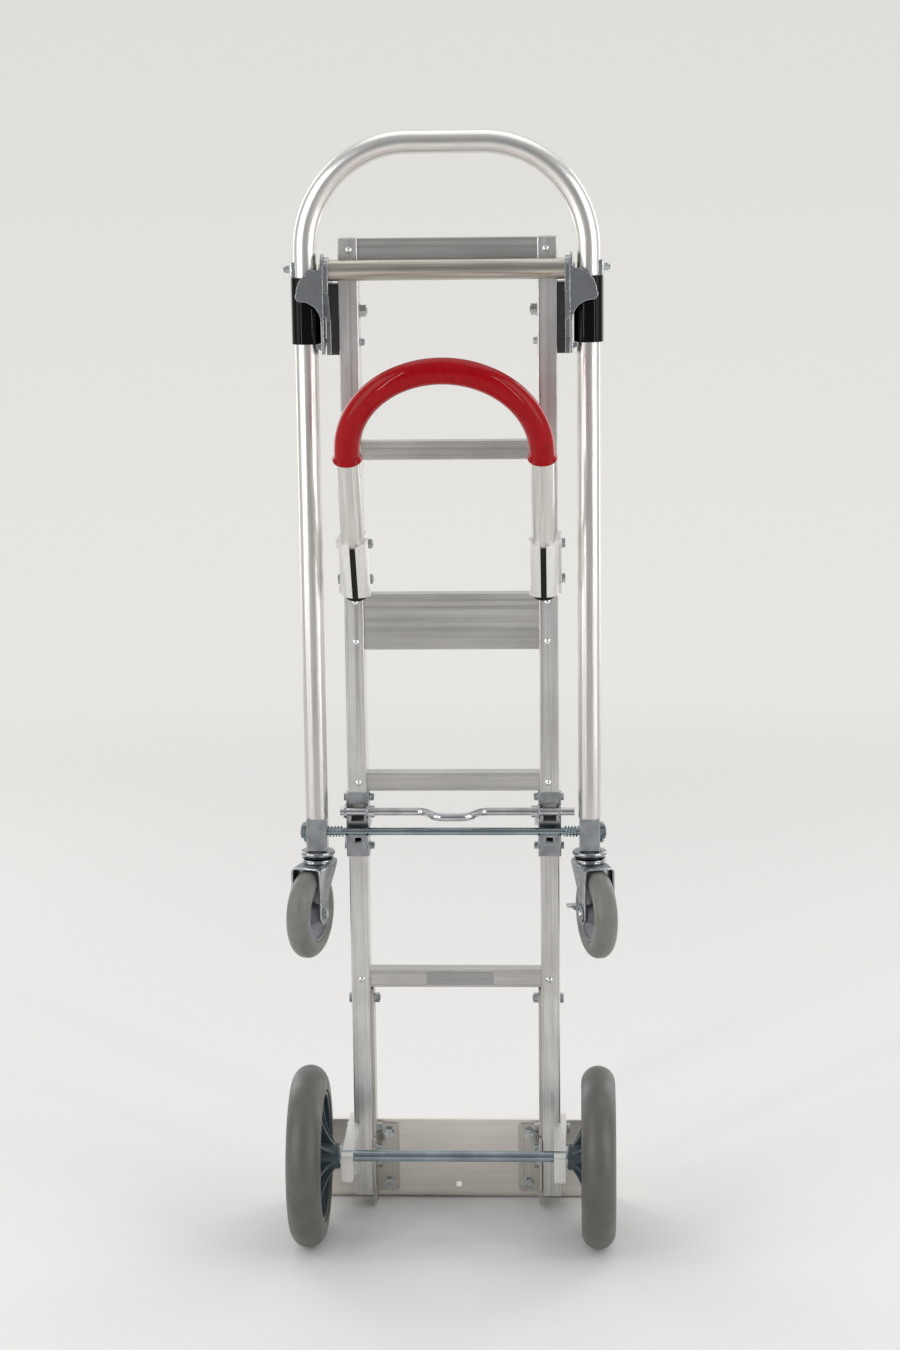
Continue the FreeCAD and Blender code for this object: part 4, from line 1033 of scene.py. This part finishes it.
    def hub(self) -> bpy.types.Object:
        """Turn the hub, dished on both faces.

        Returns:
            The hub.
        """
        rim, half, boss, web = self.hub_radius, self.tyre_half - 2 * MM, 17 * MM, 4 * MM
        face = [(web, 16 * MM), (web - 0.5 * MM, 20 * MM), (web + 1.5 * MM, 30 * MM), (half - 4 * MM, rim - 5 * MM),
                (half - MM, rim - 4.4 * MM), (half, rim - 3.4 * MM), (half, rim - MM), (half - MM, rim)]
        boss_face = [(boss, self.bore), (boss, 11.6 * MM), (boss - MM, 12.6 * MM), (web + 3 * MM, 13.5 * MM)]
        outer = boss_face + face
        profile = outer + [(-a, r) for a, r in reversed(outer)]
        return lathe(f"cushion_hub_{self.side.word}", profile + profile[:1],
                     Vector((0, -self.trail, self.axle_z)), Vector((1, 0, 0)), 96)


@dataclass
class Studio:
    """Pale floor, soft lights and the camera behind the truck."""

    lens: float = 72.0
    camera_at: tuple[float, float, float] = (0.172, -3.710, 1.5215)
    yaw: float = 0.047
    pitch: float = 0.193
    roll: float = -0.012

    def build(self) -> None:
        """Set the floor, the world, the lights and the camera."""
        self.floor()
        self.world()
        self.softbox("wall_left", (-2.7, -1.3, 1.7), 1.5, 3.2, 31.0)
        self.softbox("wall_right", (2.8, -1.0, 1.6), 1.3, 3.2, 28.0)
        self.softbox("strip_left", (-2.0, -2.6, 1.6), 0.14, 2.8, 20.0)
        self.softbox("strip_right", (2.4, -2.2, 1.6), 0.14, 2.8, 17.0)
        self.softbox("top_light", (0.2, 0.6, 3.8), 3.2, 2.6, 20.0)
        self.softbox("back_left", (-1.9, 2.2, 1.6), 0.8, 2.6, 16.0)
        self.softbox("back_right", (2.0, 2.0, 1.5), 0.8, 2.6, 16.0)
        self.camera()
        bpy.context.scene.view_settings.view_transform = "Standard"

    def floor(self) -> None:
        """Lay a pale disc that fades out far from the truck."""
        bpy.ops.object.select_all(action="DESELECT")
        bpy.ops.mesh.primitive_circle_add(vertices=64, radius=9.0, fill_type="NGON")
        ground = bpy.context.object
        ground.name = "studio_floor"
        made = bpy.data.materials.new("studio_paper")
        made.use_nodes = True
        tree = made.node_tree
        tree.nodes.clear()
        place = add_node(tree, "ShaderNodeTexCoord").outputs["Object"]
        away = add_node(tree, "ShaderNodeVectorMath", {0: place}, operation="LENGTH")
        fade = add_node(tree, "ShaderNodeMapRange", {0: away.outputs["Value"], 1: 0.6, 2: 4.2},
                        interpolation_type="SMOOTHSTEP")
        paper = add_node(tree, "ShaderNodeBsdfPrincipled", {"Base Color": linear("#e4e3e1"), "Roughness": 0.6})
        clear = add_node(tree, "ShaderNodeBsdfTransparent")
        both = add_node(tree, "ShaderNodeMixShader", {0: fade.outputs[0], 1: paper.outputs[0], 2: clear.outputs[0]})
        add_node(tree, "ShaderNodeOutputMaterial", {"Surface": both.outputs[0]})
        ground.data.materials.append(made)

    def world(self) -> None:
        """Pale backdrop and floor, and a dimmer room on the camera's side, for the metal to reflect."""
        world = bpy.data.worlds.new("studio_air")
        bpy.context.scene.world = world
        world.use_nodes = True
        tree = world.node_tree
        tree.nodes.clear()
        place = add_node(tree, "ShaderNodeTexCoord").outputs["Generated"]
        way = add_node(tree, "ShaderNodeSeparateXYZ", {0: place})
        down = add_node(tree, "ShaderNodeMapRange", {0: way.outputs["Z"], 1: -0.02, 2: -0.42})
        climb = add_node(tree, "ShaderNodeMapRange", {0: way.outputs["Z"], 1: 0.35, 2: 0.9})
        beyond = add_node(tree, "ShaderNodeMapRange", {0: way.outputs["Y"], 1: -0.25, 2: 0.45})
        room = blend(tree, climb.outputs[0], linear("#8f8f91"), linear("#c3c3c5"))
        front = blend(tree, beyond.outputs[0], room, linear("#dddcda"))
        sky = blend(tree, down.outputs[0], front, linear("#f4f2ef"))
        low = add_node(tree, "ShaderNodeMapRange", {0: way.outputs["Z"], 1: 0.10, 2: -0.30})
        paper = blend(tree, low.outputs[0], linear("#dedcd8"), linear("#ebeae7"))
        seen = add_node(tree, "ShaderNodeLightPath").outputs["Is Camera Ray"]
        colour = blend(tree, seen, sky, paper)
        light = add_node(tree, "ShaderNodeBackground", {"Color": colour, "Strength": 1.0})
        add_node(tree, "ShaderNodeOutputWorld", {"Surface": light.outputs[0]})

    def softbox(self, name: str, at: tuple[float, float, float], width: float, height: float,
                watts: float) -> None:
        """Hang a soft rectangular light that faces the truck's middle.

        Args:
            name: the light's name.
            at: where it hangs, in metres.
            width: its width.
            height: its height.
            watts: its power.
        """
        data = bpy.data.lights.new(name, "AREA")
        data.shape, data.size, data.size_y, data.energy = "RECTANGLE", width, height, watts
        lamp = bpy.data.objects.new(name, data)
        bpy.context.scene.collection.objects.link(lamp)
        lamp.location = at
        lamp.rotation_euler = (Vector((0, 0, 0.75)) - Vector(at)).to_track_quat("-Z", "Y").to_euler()

    def camera(self) -> None:
        """Set the camera at head height behind the truck."""
        data = bpy.data.cameras.new("camera")
        data.lens, data.sensor_width, data.clip_end = self.lens, 36.0, 60.0
        camera = bpy.data.objects.new("camera", data)
        bpy.context.scene.collection.objects.link(camera)
        forward = Vector((-math.sin(self.yaw) * math.cos(self.pitch), math.cos(self.yaw) * math.cos(self.pitch),
                          -math.sin(self.pitch)))
        right = Vector((math.cos(self.yaw), math.sin(self.yaw), 0))
        above = right.cross(forward)
        right, above = (right * math.cos(self.roll) + above * math.sin(self.roll),
                        above * math.cos(self.roll) - right * math.sin(self.roll))
        turn = Matrix((right, above, -forward)).transposed().to_4x4()
        camera.matrix_world = Matrix.Translation(self.camera_at) @ turn
        bpy.context.scene.camera = camera


def main() -> None:
    """Build the looks of the truck in order."""
    logging.basicConfig(level=logging.INFO, format="%(name)s: %(message)s")
    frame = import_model()
    nodes = frame["nodes"]
    steps: list[tuple[str, Callable[[], None]]] = [
        ("studio", Studio().build),
        ("ladder frame", LadderFrame(nodes).build),
        ("loop handle", LoopHandle(nodes).build),
        ("fold hinge", FoldHinge(nodes).build),
        ("U-handle", UHandle(nodes).build),
    ]
    for side in Side:
        steps.append((f"{side.word} wheel", RoadWheel(side, nodes).build))
        steps.append((f"{side.word} caster", Caster(side, nodes).build))
    for name, build in steps:
        build()
        LOG.info("%s done", name)


if __name__ == "__main__":
    main()
